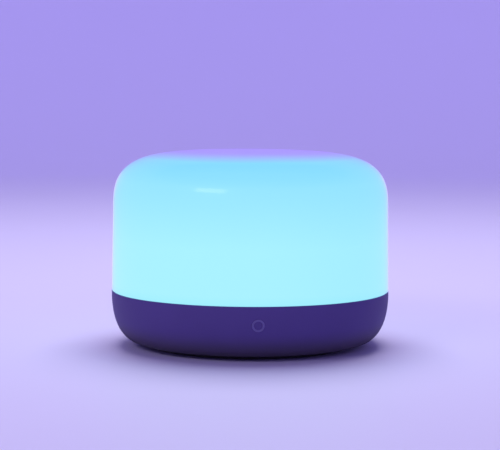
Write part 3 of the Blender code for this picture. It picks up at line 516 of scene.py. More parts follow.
def turned_mesh(name, outline, segments):
    """A closed outline of (radius, height) points turned about Z."""
    bm = bmesh.new()
    rings = []
    for radius, height in rounded(outline):
        count = 1 if radius < NOTHING else segments
        ring = []
        for step in range(count):
            angle = 2 * math.pi * step / count
            ring.append(bm.verts.new((radius * math.cos(angle), radius * math.sin(angle), height)))
        rings.append(ring)
    for low, high in zip(rings, rings[1:] + rings[:1]):
        if len(low) == 1 and len(high) == 1:
            continue
        for step in range(segments):
            after = (step + 1) % segments
            corners = [low[step % len(low)], low[after % len(low)]]
            corners += [high[after % len(high)], high[step % len(high)]]
            bm.faces.new(dict.fromkeys(corners))
    return to_mesh(bm, name)


def disc(radius, low, high):
    return [(0, low), (radius, low), (radius, high), (0, high)]


def block_mesh(name, size, rounding):
    """A block with rounded edges, centred on the origin."""
    bm = bmesh.new()
    bmesh.ops.create_cube(bm, size=1.0)
    bmesh.ops.scale(bm, vec=size, verts=bm.verts)
    bmesh.ops.bevel(bm, geom=bm.edges[:], offset=rounding, segments=3, profile=0.5, affect="EDGES")
    return to_mesh(bm, name)


def plate_mesh(name, outline, thickness):
    """An (x, z) outline in the XZ plane, with its thickness centred on Y."""
    bm = bmesh.new()
    face = bm.faces.new([bm.verts.new((x, -thickness / 2, z)) for x, z in outline])
    raised = bmesh.ops.extrude_face_region(bm, geom=[face])["geom"]
    far = [item for item in raised if isinstance(item, bmesh.types.BMVert)]
    bmesh.ops.translate(bm, vec=(0, thickness, 0), verts=far)
    return to_mesh(bm, name)


def turned(name, outline, segments=MEDIUM_SEGMENTS):
    """A turned mesh as a piece."""
    return link(name, turned_mesh(name, outline, segments))


def gathered(mesh, places):
    """Copies of a mesh, one at each matrix, as one helper object."""
    bm = bmesh.new()
    for place in places:
        start = len(bm.verts)
        bm.from_mesh(mesh)
        bm.verts.ensure_lookup_table()
        bmesh.ops.transform(bm, matrix=place, verts=bm.verts[start:])
    return link(mesh.name, to_mesh(bm, mesh.name))


def combine(piece, helper, operation):
    step = piece.modifiers.new(helper.name, "BOOLEAN")
    step.operation = operation
    step.solver = "EXACT"
    step.object = helper
    plain(piece)
    bpy.data.objects.remove(helper)
    return welded(piece)


def add(piece, mesh, places):
    return combine(piece, gathered(mesh, places), "UNION")


def cut(piece, mesh, places):
    return combine(piece, gathered(mesh, places), "DIFFERENCE")


def welded(piece):
    """Merges points that a cut leaves less than a few microns apart, so the skin stays closed."""
    bm = bmesh.new()
    bm.from_mesh(piece.data)
    bmesh.ops.remove_doubles(bm, verts=bm.verts, dist=WELD)
    bmesh.ops.dissolve_degenerate(bm, edges=bm.edges, dist=WELD)
    bm.to_mesh(piece.data)
    bm.free()
    return piece


def at_spots(spots, axis=Matrix()):
    """A matrix for each (x, y) spot."""
    return [axis @ Matrix.Translation((*spot, 0)) for spot in spots]


def about_z(angle):
    return Matrix.Rotation(angle, 4, "Z")


def cut_holes(piece, radius, low, high, spots, axis=Matrix()):
    hole = turned_mesh("hole", disc(radius, low, high), SCREW_SEGMENTS)
    return cut(piece, hole, at_spots(spots, axis))


def smooth(piece, degrees=32):
    piece.data.shade_smooth()
    piece.data.set_sharp_from_angle(angle=math.radians(degrees))
    return piece


def paint(piece, finish):
    piece.data.materials.clear()
    piece.data.materials.append(finish.material)
    return piece


def seat(piece, slot, *nodes, body="lamp_body"):
    """Parents a finished piece to its body and hides the nodes that it stands for; the slot is not used."""
    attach(piece, body)
    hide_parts(*nodes)
    return piece


def complete(piece, finish, slot, *nodes, body="lamp_body"):
    """Smooths, paints and seats a piece."""
    paint(smooth(piece), finish)
    return seat(piece, slot, *nodes, body=body)


def dress(finish, *names):
    """Gives CAD nodes that stay in view a finish."""
    for name in names:
        for slot in frame["nodes"][name].material_slots:
            slot.material = finish.material


def spots_around(radius, degrees):
    """(x, y) spots on a circle."""
    angles = [math.radians(angle) for angle in degrees]
    return [(radius * math.cos(angle), radius * math.sin(angle)) for angle in angles]


def column_spots():
    return spots_around(COLUMN_CENTRE, COLUMN_ANGLES)


def column_grid():
    """The columns' spacing along X and Y."""
    return [2 * abs(part) for part in column_spots()[0]]


def numbered(label, count):
    return [f"{label}_{index}" for index in range(1, count + 1)]


# ---------------------------------------------------------------- outlines
def superellipse(centre, across, height, power, steps=CURVE_STEPS):
    """A quarter from its widest point on. A negative height runs downwards."""
    points = []
    for step in range(steps + 1):
        turn = math.pi / 2 * step / steps
        x = max(math.cos(turn), 0) ** (2 / power)
        z = math.sin(turn) ** (2 / power)
        points.append((centre[0] + across * x, centre[1] + height * z))
    return points


def shade_skin(looks, inset):
    """The shade's outer face, or one inside it, from the shoulder's start to the axis."""
    shoulder = BODY_HEIGHT - looks.crown - looks.corner_height
    wall = BODY_RADIUS - looks.draft * (shoulder - SEAM)
    centre = wall - looks.corner_across
    height = looks.corner_height - inset
    power = looks.corner_power
    skin = superellipse((centre, shoulder), looks.corner_across - inset, height, power)
    level = skin[-1][1]
    skin += [(centre * (1 - ring / TOP_RINGS), level) for ring in range(1, TOP_RINGS + 1)]
    return [(r, z + looks.crown * (1 - (r / wall) ** 2)) for r, z in skin]


def base_skin(looks, inset):
    """The bowl's outer face, or one inside it, from the rim down to its bottom."""
    centre = (BODY_RADIUS - looks.corner_across, RIM_TOP)
    drop = RIM_TOP - BASE_BOTTOM - inset
    return superellipse(centre, looks.corner_across - inset, -drop, looks.corner_power)


def base_radius_at(looks, height):
    drop = (RIM_TOP - height) / (RIM_TOP - BASE_BOTTOM)
    share = (1 - drop**looks.corner_power) ** (1 / looks.corner_power)
    return BODY_RADIUS - looks.corner_across * (1 - share)


def press_axis(looks):
    """Places a piece made about Z on the button's axis, with +Z inwards."""
    joint = next(item for item in frame["joints"] if item["name"] == "button_press")
    inwards = Vector(joint["axis"])
    across = Vector((1, 0, 0))
    turn = Matrix((across, inwards.cross(across), inwards)).transposed().to_4x4()
    height = SEAM - BUTTON_BELOW_SEAM
    return Matrix.Translation((0, -base_radius_at(looks, height), height)) @ turn


def socket_axis():
    """Lays a piece made about Z along +Y, through the middle of the power socket."""
    return Matrix.Translation((0, 0, JACK_HEIGHT)) @ Matrix.Rotation(-math.pi / 2, 4, "X")


# ---------------------------------------------------------------- finishes
POLISHED_BAND = 0.0007  # below the bowl's rim
SLEEVE_STRIPE = (0.0012, 0.0010)  # inwards from the capacitor's flank: where the stripe starts and is full


def scaled(tint, factor):
    """A lighter or darker version of a colour."""
    return tuple(min(1.0, part * factor) for part in tint)


def opal_glow(looks):
    """Lit opal plastic: the light changes with height, the level top's lilac is partly a painted
    reflection, and painted shade darkens the wall a little towards the sides, most towards +X.
    """
    gloss = {"Roughness": 0.42, "Specular_IOR_Level": 0.15, "Coat_Weight": 0.28, "Coat_Roughness": 0.12}
    rim = {"Sheen_Weight": 0.8, "Sheen_Roughness": 0.20, "Sheen_Tint": (1.0, 0.50, 0.95, 1.0)}
    finish = Finish("opal_glow", **gloss, **rim)
    height = finish.axis("Z")
    drift = finish.noise(0.060, 1.0)
    level = height / BODY_HEIGHT + (drift - 0.5) * 0.010
    seam = SEAM / BODY_HEIGHT
    halfway = (Vector(looks.glow_middle) + Vector(looks.glow_shoulder)) / 2
    stops = (
        (seam, looks.glow_foot),
        (seam + 0.040, looks.glow_middle),
        (0.55, looks.glow_middle),
        (0.85, halfway),
        (0.95, looks.glow_shoulder),
        (0.965, looks.glow_shoulder),
        # The top stop's lilac is partly a painted reflection.
        (0.996, looks.top_glow_with_painted_reflection),
    )
    glow = finish.ramp(level, *[(place, tuple(tint)) for place, tint in stops])
    # Painted shade: below the top, the glow drifts towards the shoulder's darker tone near the sides, most
    # towards +X.
    side = finish.axis("X") / BODY_RADIUS
    upright = 1 - finish.smooth(height, 0.9 * BODY_HEIGHT, BODY_HEIGHT)
    painted_side_shade = (side * side * 0.16 + side * 0.10) * upright
    glow = finish.mix(painted_side_shade, glow, tuple(looks.glow_shoulder))
    body = finish.mix(drift, (0.035, 0.060, 0.110), (0.045, 0.072, 0.125))
    finish.shader.inputs["Emission Strength"].default_value = 1.0
    finish.set(Base_Color=body, Emission_Color=glow)
    orange_peel = finish.noise(0.0030, 1.0)
    return finish.bump(orange_peel, 0.00002, 0.25)


def moulded(name, tint, roughness, grain, depth=0.00004, variation=0.12, **constants):
    """Spark-eroded moulded plastic: fine pits, and slow changes of tone and gloss."""
    finish = Finish(name, **constants)
    pits = finish.noise(grain, 3.0)
    cloud = finish.noise(grain * 90, 2.0)
    shade = finish.mix(cloud * 0.7 + pits * 0.3, scaled(tint, 1 - variation), scaled(tint, 1 + variation))
    finish.set(Base_Color=shade, Roughness=roughness + (pits - 0.5) * 0.12 + (cloud - 0.5) * 0.06)
    return finish.bump(pits, depth, 0.5)


def bowl_plastic(looks):
    """The bowl's plastic: matt, polished a little where hands and the seam meet it, and darkened by painted
    shade towards its bottom.
    """
    tint = tuple(looks.shell_colour)
    finish = Finish("bowl_plastic", Specular_IOR_Level=0.12)
    pits = finish.noise(looks.grain, 3.0)
    cloud = finish.noise(0.045, 2.0)
    rim = finish.smooth(finish.axis("Z"), RIM_TOP - POLISHED_BAND, RIM_TOP)
    # Painted shade: the bowl's colour darkens from a little over half its height down to its bottom.
    clear_of_painted_shade = finish.smooth(finish.axis("Z"), BASE_BOTTOM, RIM_TOP * 0.55)
    shade = finish.mix(cloud * 0.6 + pits * 0.4, scaled(tint, 0.92), scaled(tint, 1.10))
    shade = finish.mix(clear_of_painted_shade, tuple(looks.painted_underside_shade), shade)
    finish.set(Base_Color=finish.mix(rim * 0.6, shade, scaled(tint, 1.35)))
    finish.set(Roughness=0.56 + (pits - 0.5) * 0.14 + (cloud - 0.5) * 0.08 - rim * 0.12)
    return finish.bump(pits, 0.00003, 0.45)


def machined(name, tint, roughness, grain, stretch=(1, 1, 1), metallic=1.0):
    """Metal with fine tool marks."""
    finish = Finish(name, Metallic=metallic)
    marks = finish.noise(grain, 4.0, stretch)
    cloud = finish.noise(grain * 30, 2.0)
    finish.set(Base_Color=finish.mix(marks * 0.6 + cloud * 0.4, scaled(tint, 0.82), tint))
    finish.set(Roughness=roughness + (marks - 0.5) * 0.20)
    return finish.bump(marks, 0.00001, 0.4)


def solder_mask(name, tint, copper):
    """A board's lacquer, with tracks that show through it."""
    finish = Finish(name, Coat_Weight=0.3, Coat_Roughness=0.2)
    values = {"Vector": finish.place, "Scale": 260.0, "Randomness": 0.85}
    cells = finish.node("ShaderNodeTexVoronoi", {"distance": "MANHATTAN"}, values, "Color")
    first = finish.node("ShaderNodeSeparateXYZ", None, {0: cells}, "X")
    track = finish.smooth(first, 0.52, 0.56)
    weave = finish.noise(0.0006, 2.0)
    body = finish.mix(weave, scaled(tint, 0.9), scaled(tint, 1.1))
    finish.set(Base_Color=finish.mix(track * 0.55, body, copper), Roughness=0.36 + weave * 0.1)
    return finish.bump(track + weave * 0.1, 0.00003, 0.5)


def sleeved_can():
    """A capacitor's shrink sleeve, with one pale stripe down its +X side."""
    finish = Finish("sleeved_can")
    side = finish.axis("X")
    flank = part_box("capacitor_1")[1].x
    stripe = finish.smooth(side, *[flank - inwards for inwards in SLEEVE_STRIPE])
    crinkle = finish.noise(0.0008, 3.0)
    sleeve = finish.mix(crinkle, (0.022, 0.035, 0.120), (0.030, 0.046, 0.150))
    finish.set(Base_Color=finish.mix(stripe, sleeve, (0.55, 0.57, 0.60)))
    finish.set(Roughness=0.26 + crinkle * 0.12)
    return finish.bump(crinkle, 0.00002, 0.4)


def led_finish(name, lens):
    """A package's pale frame around its filled cup."""
    finish = Finish(name, Coat_Weight=0.4, Coat_Roughness=0.1)
    fill = finish.smooth(finish.axis("Z"), *[LED_BOARD_TOP + level for level in FILL_LEVEL])
    speck = finish.noise(0.00012, 2.0)
    body = finish.mix(speck, (0.80, 0.80, 0.77), (0.90, 0.90, 0.88))
    cup = finish.mix(speck, scaled(lens, 0.85), lens)
    finish.set(Base_Color=finish.mix(fill, body, cup), Roughness=0.42 - fill * 0.2)
    return finish.bump(speck, 0.00001, 0.3)


# ---------------------------------------------------------------- screws
def screw(name, kind, shank_length):
    """A cross-recess pan-head screw. Its head's underside is at Z = 0 and its shank along -Z."""
    shank, head, head_height = kind
    pitch = shank / 2.6
    ridges = []
    for step in range(int(shank_length / pitch) - 1):
        height = -shank_length + (step + 1) * pitch
        ridges += [(shank * 0.80, height), (shank, height + pitch / 2)]
    outline = [(0, -shank_length), (shank * 0.6, -shank_length), *ridges, (shank * 0.85, 0)]
    outline += [(head, 0, 0.00008), (head, head_height * 0.45)]
    outline += [(head * 0.93, head_height * 0.78), (head * 0.70, head_height * 0.95)]
    outline += [(head * 0.35, head_height), (0, head_height)]
    piece = turned(name, outline, SCREW_SEGMENTS)
    arm = block_mesh("arm", (head * 1.25, head * 0.30, head_height * 1.1), head * 0.06)
    for angle in (0, math.pi / 2):
        cut(piece, arm, [Matrix.Translation((0, 0, head_height * 0.98)) @ about_z(angle)])
    return smooth(piece)


def grid_recipe():
    """Screws at the crossings of a grid."""
    counts = {"Columns": "Int", "Rows": "Int"}
    recipe = Recipe("fastener_grid", Fastener="Object", Width="Float", Depth="Float", **counts)
    values = {"Size X": recipe.input("Width"), "Size Y": recipe.input("Depth")}
    values.update({"Vertices X": recipe.input("Columns"), "Vertices Y": recipe.input("Rows")})
    grid = recipe.node("GeometryNodeMeshGrid", None, values)
    item = recipe.node("GeometryNodeObjectInfo", None, {"Object": recipe.input("Fastener")}, "Geometry")
    placed = recipe.node("GeometryNodeInstanceOnPoints", None, {"Points": grid, "Instance": item})
    return recipe.finish(placed)


def ring_recipe():
    """Copies of an item around a circle, each one turned with its place."""
    recipe = Recipe("item_ring", Item="Object", Count="Int", Radius="Float", First="Float")
    values = {"Vertices": recipe.input("Count"), "Radius": recipe.input("Radius")}
    circle = recipe.node("GeometryNodeMeshCircle", None, values)
    index = recipe.node("GeometryNodeInputIndex")
    turn = index * 2 * math.pi / recipe.input("Count")
    turned = recipe.node("ShaderNodeCombineXYZ", None, {"Z": turn})
    item = recipe.node("GeometryNodeObjectInfo", None, {"Object": recipe.input("Item")}, "Geometry")
    values = {"Points": circle, "Instance": item, "Rotation": turned}
    placed = recipe.node("GeometryNodeInstanceOnPoints", None, values)
    whole = recipe.node("ShaderNodeCombineXYZ", None, {"Z": recipe.input("First")})
    spun = recipe.node("GeometryNodeTransform", None, {"Geometry": placed, "Rotation": whole})
    return recipe.finish(spun)


def coil_recipe():
    """A round wire wound into a coil along +Z."""
    recipe = Recipe("coil", Turns="Float", Radius="Float", Length="Float", Wire="Float")
    values = {"Resolution": 40, "Rotations": recipe.input("Turns"), "Height": recipe.input("Length")}
    values.update({"Start Radius": recipe.input("Radius"), "End Radius": recipe.input("Radius")})
    path = recipe.node("GeometryNodeCurveSpiral", None, values)
    values = {"Resolution": 12, "Radius": recipe.input("Wire")}
    section = recipe.node("GeometryNodeCurvePrimitiveCircle", None, values)
    values = {"Curve": path, "Profile Curve": section, "Fill Caps": True}
    return recipe.finish(recipe.node("GeometryNodeCurveToMesh", None, values))


def screw_grid(name, kind, shank_length, counts, size, place, finish, nodes):
    """Screws on a grid, built as one piece that stands for its nodes."""
    template = screw("screw_template", kind, shank_length)
    values = {"Fastener": template, "Columns": counts[0], "Rows": counts[1]}
    piece = grid_recipe().build(name, finish, Width=size[0], Depth=size[1], **values)
    bpy.data.objects.remove(template)
    piece.data.transform(place)
    return seat(piece, "steel", *nodes)


# ---------------------------------------------------------------- operators
class LampPieces(bpy.types.Operator):
    """What the lamp's operators share"""

    bl_options = {"REGISTER", "UNDO"}

    def execute(self, context):
        self.make(context.scene.lamp_looks)
        return {"FINISHED"}


class LAMP_OT_shade(LampPieces):
    """Makes the opal shade with its tongue and snap lugs"""

    bl_idname = "lamp.shade"
    bl_label = "Shade"

    def make(self, looks):
        shade = looks.shade
        skin = shade_skin(shade, 0)
        wall = straight((BODY_RADIUS, SEAM), skin[0], WALL_RINGS)
        inner = list(reversed(shade_skin(shade, shade.wall)))
        tongue_outer = BODY_RADIUS - RIM_WALL - GAP
        tongue_inner = tongue_outer - TONGUE_THICKNESS
        tongue = [
            (tongue_inner, SEAM + shade.wall, 0.0006),
            (tongue_inner, TONGUE_BOTTOM, 0.0003),
            (tongue_outer, TONGUE_BOTTOM, 0.0003),
            (tongue_outer, SEAM, 0.0001),
        ]
        outline = [(BODY_RADIUS, SEAM, shade.edge), *wall, *skin, *inner, *tongue]
        piece = turned("shade_diffuser", outline, looks.segments)
        lug = block_mesh("lug", LUG_SIZE, 0.0003)
        reach = tongue_inner - LUG_SIZE[0] / 2 + TONGUE_THICKNESS / 2
        height = DECK_UNDERSIDE - GAP - LUG_SIZE[2] / 2
        place = Matrix.Translation((reach, 0, height))
        add(piece, lug, [about_z(2 * math.pi * step / LUG_COUNT) @ place for step in range(LUG_COUNT)])
        complete(piece, opal_glow(shade), "opal", "shade")


class LAMP_OT_base(LampPieces):
    """Makes the bowl with its columns, ribs and bosses"""

    bl_idname = "lamp.base"
    bl_label = "Base Bowl"

    def make(self, looks):
        base = looks.base
        opening = BODY_RADIUS - base.corner_across - BASE_LIP
        outer = base_skin(base, 0)
        inner = [point for point in reversed(base_skin(base, base.wall)) if point[1] < REBATE_FLOOR]
        rebate = BODY_RADIUS - RIM_WALL
        outline = [
            (*outer[0], base.edge),
            *outer[1:],
            (opening, BASE_BOTTOM, 0.0005),
            (opening, BASE_BOTTOM + base.wall, 0.0005),
            *inner,
            (BODY_RADIUS - base.wall, REBATE_FLOOR, 0.0002),
            (rebate, REBATE_FLOOR),
            (rebate, RIM_TOP, 0.0002),
        ]
        piece = turned("base_bowl", outline, looks.segments)
        self.add_columns(piece, base)
        self.open_socket(piece)
        self.open_button(piece, looks)
        complete(piece, bowl_plastic(base), "grey_shell", "base_shell")

    def add_columns(self, piece, base):
        column = turned_mesh("column", disc(COLUMN_RADIUS, COLUMN_FOOT, COLUMN_TOP), COLUMN_SEGMENTS)
        add(piece, column, at_spots(column_spots()))
        low = BASE_BOTTOM + base.wall + RIB_MARGIN
        high = REBATE_FLOOR - RIB_MARGIN
        wall = [(r, z) for r, z in base_skin(base, base.wall / 2) if low < z < high]
        outline = [(COLUMN_CENTRE, high), (wall[0][0], high), *wall]
        outline += [(wall[-1][0], low), (COLUMN_CENTRE, low)]
        rib = plate_mesh("rib", outline, RIB_THICKNESS)
        add(piece, rib, [about_z(math.radians(degrees)) for degrees in COLUMN_ANGLES])
        pilot = SCREW_M3[0] + GAP
        cut_holes(piece, pilot, COLUMN_FOOT - GAP, COLUMN_FOOT + PILOT_DEPTH, column_spots())
        cut_holes(piece, pilot, COLUMN_TOP - PILOT_DEPTH, COLUMN_TOP + GAP, column_spots())

    def open_socket(self, piece):
        hole = disc(BEZEL_RADIUS + GAP, SOCKET_FLOOR, OUTSIDE)
        cut(piece, turned_mesh("socket_hole", hole, MEDIUM_SEGMENTS), [socket_axis()])

    def open_button(self, piece, looks):
        base, ring = looks.base, looks.button.ring_outer + LINE_GAP
        axis = press_axis(base)
        middle = base.wall / 2
        boss = turned_mesh("boss", disc(BOSS_RADIUS, middle, middle + BOSS_LENGTH), COLUMN_SEGMENTS)
        sides = [(side * BUTTON_SCREW_SPREAD / 2, 0) for side in (-1, 1)]
        add(piece, boss, at_spots(sides, axis))
        ends = (base.wall, middle + BOSS_LENGTH + GAP)
        cut_holes(piece, SCREW_M2[0] + GAP, *ends, sides, axis)
        outline = [(0, -base.wall), (ring + HOLE_FLARE, -base.wall), (ring, RING_EDGE), (ring, base.wall)]
        outline += disc(FLANGE_POCKET, base.wall, 2 * base.wall)[1:]
        cut(piece, turned_mesh("button_hole", outline, MEDIUM_SEGMENTS), [axis])


class LAMP_OT_button(LampPieces):
    """Makes the button's cap, its ring and its return spring"""

    bl_idname = "lamp.button"
    bl_label = "Button"

    def make(self, looks):
        button = looks.button
        axis = press_axis(looks.base)
        ring = [
            (button.ring_inner, 0, RING_EDGE),
            (button.ring_outer, 0, RING_EDGE),
            (button.ring_outer, FLANGE_FRONT),
            (FLANGE_RADIUS, FLANGE_FRONT, 0.0001),
            (FLANGE_RADIUS, FLANGE_BACK, 0.0001),
            (button.ring_inner, FLANGE_BACK),
        ]
        piece = turned("button_ring_inlay", ring)
        piece.data.transform(axis)
        finish = moulded("ring_satin", tuple(button.ring_colour), 0.40, 0.0004, 0.00001, 0.06)
        complete(piece, finish, "ring_inlay", "button_ring")
        self.make_cap(button, looks.base, axis)
        self.make_spring(button, axis)

    def make_cap(self, button, base, axis):
        edge = button.cap - CAP_LAND
        hollow = []
        for step in range(DISH_STEPS):
            radius = edge * step / DISH_STEPS
            hollow.append((radius, button.dish * (1 - (radius / edge) ** 2)))
        outline = [
            *hollow,
            (button.cap, 0, 0.00014),
            (button.cap, SHOULDER_FRONT),
            (SHOULDER_RADIUS, SHOULDER_FRONT, 0.00015),
            (SHOULDER_RADIUS, SHOULDER_BACK, 0.00015),
            (STEM_RADIUS, SHOULDER_BACK),
            (STEM_RADIUS, STEM_END, 0.0003),
            (0, STEM_END),
        ]
        piece = turned("button_cap", outline)
        piece.data.transform(axis)
        gloss = {"Specular_IOR_Level": 0.12}
        finish = moulded("cap_plastic", tuple(base.shell_colour), 0.54, base.grain, 0.00002, 0.10, **gloss)
        complete(piece, finish, "button_cap", "power_button", body="button")

    def make_spring(self, button, axis):
        wire = button.spring_wire
        finish = machined("spring_steel", (0.62, 0.61, 0.60), 0.26, 0.0004)
        sizes = {"Turns": button.spring_turns, "Radius": button.spring_radius}
        length = SPRING_LENGTH - 2 * wire
        piece = coil_recipe().build("return_spring", finish, Length=length, Wire=wire, **sizes)
        piece.data.transform(axis @ Matrix.Translation((0, 0, SPRING_START + wire)))
        seat(smooth(piece), "steel", "button_spring")
        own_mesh(piece)


class LAMP_OT_underside(LampPieces):
    """Makes the bottom plate, the foot ring and the cover's screws"""

    bl_idname = "lamp.underside"
    bl_label = "Underside"

    def make(self, looks):
        self.make_plate(looks)
        self.make_foot(looks)
        steel = machined("zinc_steel", (0.56, 0.56, 0.57), 0.30, 0.0005)
        upside_down = Matrix.Rotation(math.pi, 4, "X")
        place = Matrix.Translation((0, 0, COVER_UNDERSIDE + SCREW_M3[2])) @ upside_down
        nodes = numbered("cover_screw", 4)
        screw_grid("cover_screws", SCREW_M3, COVER_SCREW_LENGTH, (2, 2), column_grid(), place, steel, nodes)

    def make_plate(self, looks):
        low, high = COVER_UNDERSIDE, COVER_UNDERSIDE + COVER_THICKNESS
        groove = low + COVER_GROOVE
        inner = FOOT_OUTER - FOOT_WIDTH - GAP
        outer = FOOT_OUTER + GAP
        outline = [
            (0, low + PANEL_DEPTH),
            (PANEL_RADIUS, low + PANEL_DEPTH, 0.0003),
            (PANEL_RADIUS + 2 * PANEL_DEPTH, low, 0.0003),
            (inner, low, 0.0002),
            (inner, groove),
            (outer, groove),
            (outer, low, 0.0002),
            (COVER_RADIUS, low, 0.0004),
            (COVER_RADIUS, high, 0.0003),
            (0, high),
        ]
        piece = turned("bottom_plate", outline, looks.segments)
        top = high + STANDOFF_HEIGHT
        standoff = disc(STANDOFF_RADIUS, high - STANDOFF_FOOT, top)
        add(piece, turned_mesh("standoff", standoff, COLUMN_SEGMENTS), at_spots(STANDOFF_PLACES))
        cut_holes(piece, SCREW_M2[0] + GAP, high, top + GAP, STANDOFF_PLACES)
        shank, head, head_height = SCREW_M3
        cut_holes(piece, shank + GAP, low - GAP, high + GAP, column_spots())
        start = low - RECESS_BELOW
        recess = [(0, start), (head + GAP + RECESS_CHAMFER, start)]
        recess += disc(head + GAP, low + 0.0002, low + head_height + GAP)[1:]
        cut(piece, turned_mesh("recess", recess, COLUMN_SEGMENTS), at_spots(column_spots()))
        finish = moulded("cover_plastic", tuple(looks.base.cover_colour), 0.52, looks.base.grain * 2)
        complete(piece, finish, "dark_plastic", "bottom_cover")

    def make_foot(self, looks):
        inner = FOOT_OUTER - FOOT_WIDTH
        outline = [(inner, FOOT_TOP, 0.0002), (inner, 0, FOOT_EDGE)]
        for share in TREAD_SHARES:
            middle = inner + FOOT_WIDTH * share
            near, far = middle - TREAD_HALF_WIDTH, middle + TREAD_HALF_WIDTH
            outline += [(near, 0, 0.0001), (middle, TREAD_DEPTH, 0.0002), (far, 0, 0.0001)]
        outline += [(FOOT_OUTER, 0, FOOT_EDGE), (FOOT_OUTER, FOOT_TOP, 0.0002)]
        piece = turned("foot_pad_ring", outline, looks.segments)
        finish = moulded("silicone_rubber", (0.016, 0.015, 0.018), 0.80, 0.0009, 0.00003, 0.2)
        complete(piece, finish, "silicone", "foot_ring")


class LAMP_OT_socket(LampPieces):
    """Makes the power socket: its collar, the jack behind it and the centre pin"""

    bl_idname = "lamp.socket"
    bl_label = "Power Socket"

    def make(self, looks):
        back = JACK_FACE + GAP
        outline = [
            (SOCKET_MOUTH, back, 0.0003),
            (BEZEL_RADIUS, back, 0.0003),
            (BEZEL_RADIUS, OUTSIDE),
            (SOCKET_RADIUS, OUTSIDE),
            (SOCKET_RADIUS, SOCKET_FLOOR, 0.0006),
            (SOCKET_MOUTH, SOCKET_FLOOR, 0.0005),
        ]
        piece = turned("socket_collar", outline)
        piece.data.transform(socket_axis())
        skin = base_skin(looks.base, COLLAR_INSET)
        limit = turned("collar_limit", [(0, RIM_TOP), *skin, (0, skin[-1][1])], looks.segments)
        combine(piece, limit, "INTERSECT")
        finish = moulded("collar_plastic", tuple(looks.base.cover_colour), 0.42, 0.0005)
        complete(piece, finish, "dark_plastic", "socket_bezel")
        self.make_jack()

    def make_jack(self):
        piece = link("jack_body", block_mesh("jack_body", JACK_SIZE, 0.0003))
        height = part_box("power_jack")[0].z + JACK_SIZE[2] / 2
        piece.data.transform(Matrix.Translation((0, JACK_FACE - JACK_SIZE[1] / 2, height)))
        deep = JACK_FACE - JACK_BORE_DEPTH
        front = JACK_FACE + JACK_LEAD_IN / 2
        bore = [(0, deep), (JACK_BORE, deep, 0.0003), (JACK_BORE, JACK_FACE - JACK_LEAD_IN)]
        bore += [(JACK_BORE + JACK_CHAMFER, front), (0, front)]
        cut(piece, turned_mesh("jack_bore", bore, MEDIUM_SEGMENTS), [socket_axis()])
        complete(piece, moulded("jack_plastic", (0.014, 0.014, 0.015), 0.38, 0.0006), "chip", "power_jack")
        low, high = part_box("power_jack_pin")
        root, tip, radius = low.y, high.y, high.x
        outline = [(0, root), (radius, root), (radius, tip, 0.0006), (radius * 0.3, tip), (0, tip)]
        pin = turned("jack_pin", outline, COLUMN_SEGMENTS)
        pin.data.transform(socket_axis())
        complete(pin, machined("pin_brass", (0.78, 0.58, 0.26), 0.22, 0.0005), "brass", "power_jack_pin")


class LAMP_OT_light_source(LampPieces):
    """Makes the light source: packages, dome, the deck's and light board's screws, and dresses the board's
    connector
    """

    bl_idname = "lamp.light_source"
    bl_label = "Light Source"

    def make(self, looks):
        self.make_packages()
        self.make_dome(looks)
        steel = machined("screw_steel", (0.56, 0.56, 0.57), 0.32, 0.0005)
        place = Matrix.Translation((0, 0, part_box("deck_screw_1")[1].z - SCREW_M3[2]))
        nodes = numbered("deck_screw", 4)
        screw_grid("deck_screws", SCREW_M3, DECK_SCREW_LENGTH, (2, 2), column_grid(), place, steel, nodes)
        template = screw("screw_template", SCREW_M2, LED_SCREW_LENGTH)
        count = len(LED_SCREW_ANGLES)
        sizes = {"Item": template, "Count": count, "Radius": LED_SCREW_RING}
        first = math.radians(LED_SCREW_ANGLES[0])
        piece = ring_recipe().build("led_board_screws", steel, First=first, **sizes)
        bpy.data.objects.remove(template)
        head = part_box("led_board_screw_1")[1].z - SCREW_M2[2]
        piece.data.transform(Matrix.Translation((0, 0, head)))
        seat(piece, "steel", *numbered("led_board_screw", count))
        dress(moulded("plug_housing", (0.82, 0.80, 0.72), 0.42, 0.0006), "led_socket", "led_connector")

    def make_packages(self):
        size = (PACKAGE_SIDE, PACKAGE_SIDE, PACKAGE_HEIGHT)
        template = link("package_template", block_mesh("package_template", size, 0.00018))
        place = Matrix.Translation((0, 0, PACKAGE_HEIGHT / 2 - CUP_DEPTH))
        cup = [(0, 0.00002), (0.00115, 0.00002), (0.00140, 0.0008), (0, 0.0008)]
        cut(template, turned_mesh("cup", cup, SCREW_SEGMENTS), [place])
        fill = [(0, -0.0001), (0.00120, -0.0001), (0.00118, 0.00004), (0.0009, 0.00016)]
        fill += [(0.0005, 0.00021), (0, CUP_DEPTH)]
        add(template, turned_mesh("fill", fill, SCREW_SEGMENTS), [place])
        smooth(template)
        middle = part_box("led_white_1")[0].z + PACKAGE_HEIGHT / 2
        recipe = ring_recipe()
        kinds = {"led_white": ((0.86, 0.66, 0.10), 0), "led_colour": ((0.80, 0.86, 0.90), 36)}
        for name, (lens, first) in kinds.items():
            sizes = {"Item": template, "Count": LED_COUNT, "Radius": LED_RING, "First": math.radians(first)}
            piece = recipe.build(name + "_packages", led_finish(name + "_glaze", lens), **sizes)
            piece.data.transform(Matrix.Translation((0, 0, middle)))
            seat(piece, name, *numbered(name, LED_COUNT))
        bpy.data.objects.remove(template)

    def make_dome(self, looks):
        outline = []
        for inset in (0, DOME_WALL):
            rise = DOME_TOP - DOME_FOOT - inset
            quarter = superellipse((0, DOME_FOOT), DOME_RADIUS - inset, rise, 2, DOME_STEPS)
            outline += quarter if not outline else reversed(quarter)
        piece = turned("blending_dome", outline, looks.segments)
        finish = moulded("frosted_plastic", (0.86, 0.89, 0.92), 0.40, 0.0004, 0.00003, 0.05)
        complete(piece, finish, "frosted", "mixing_dome")


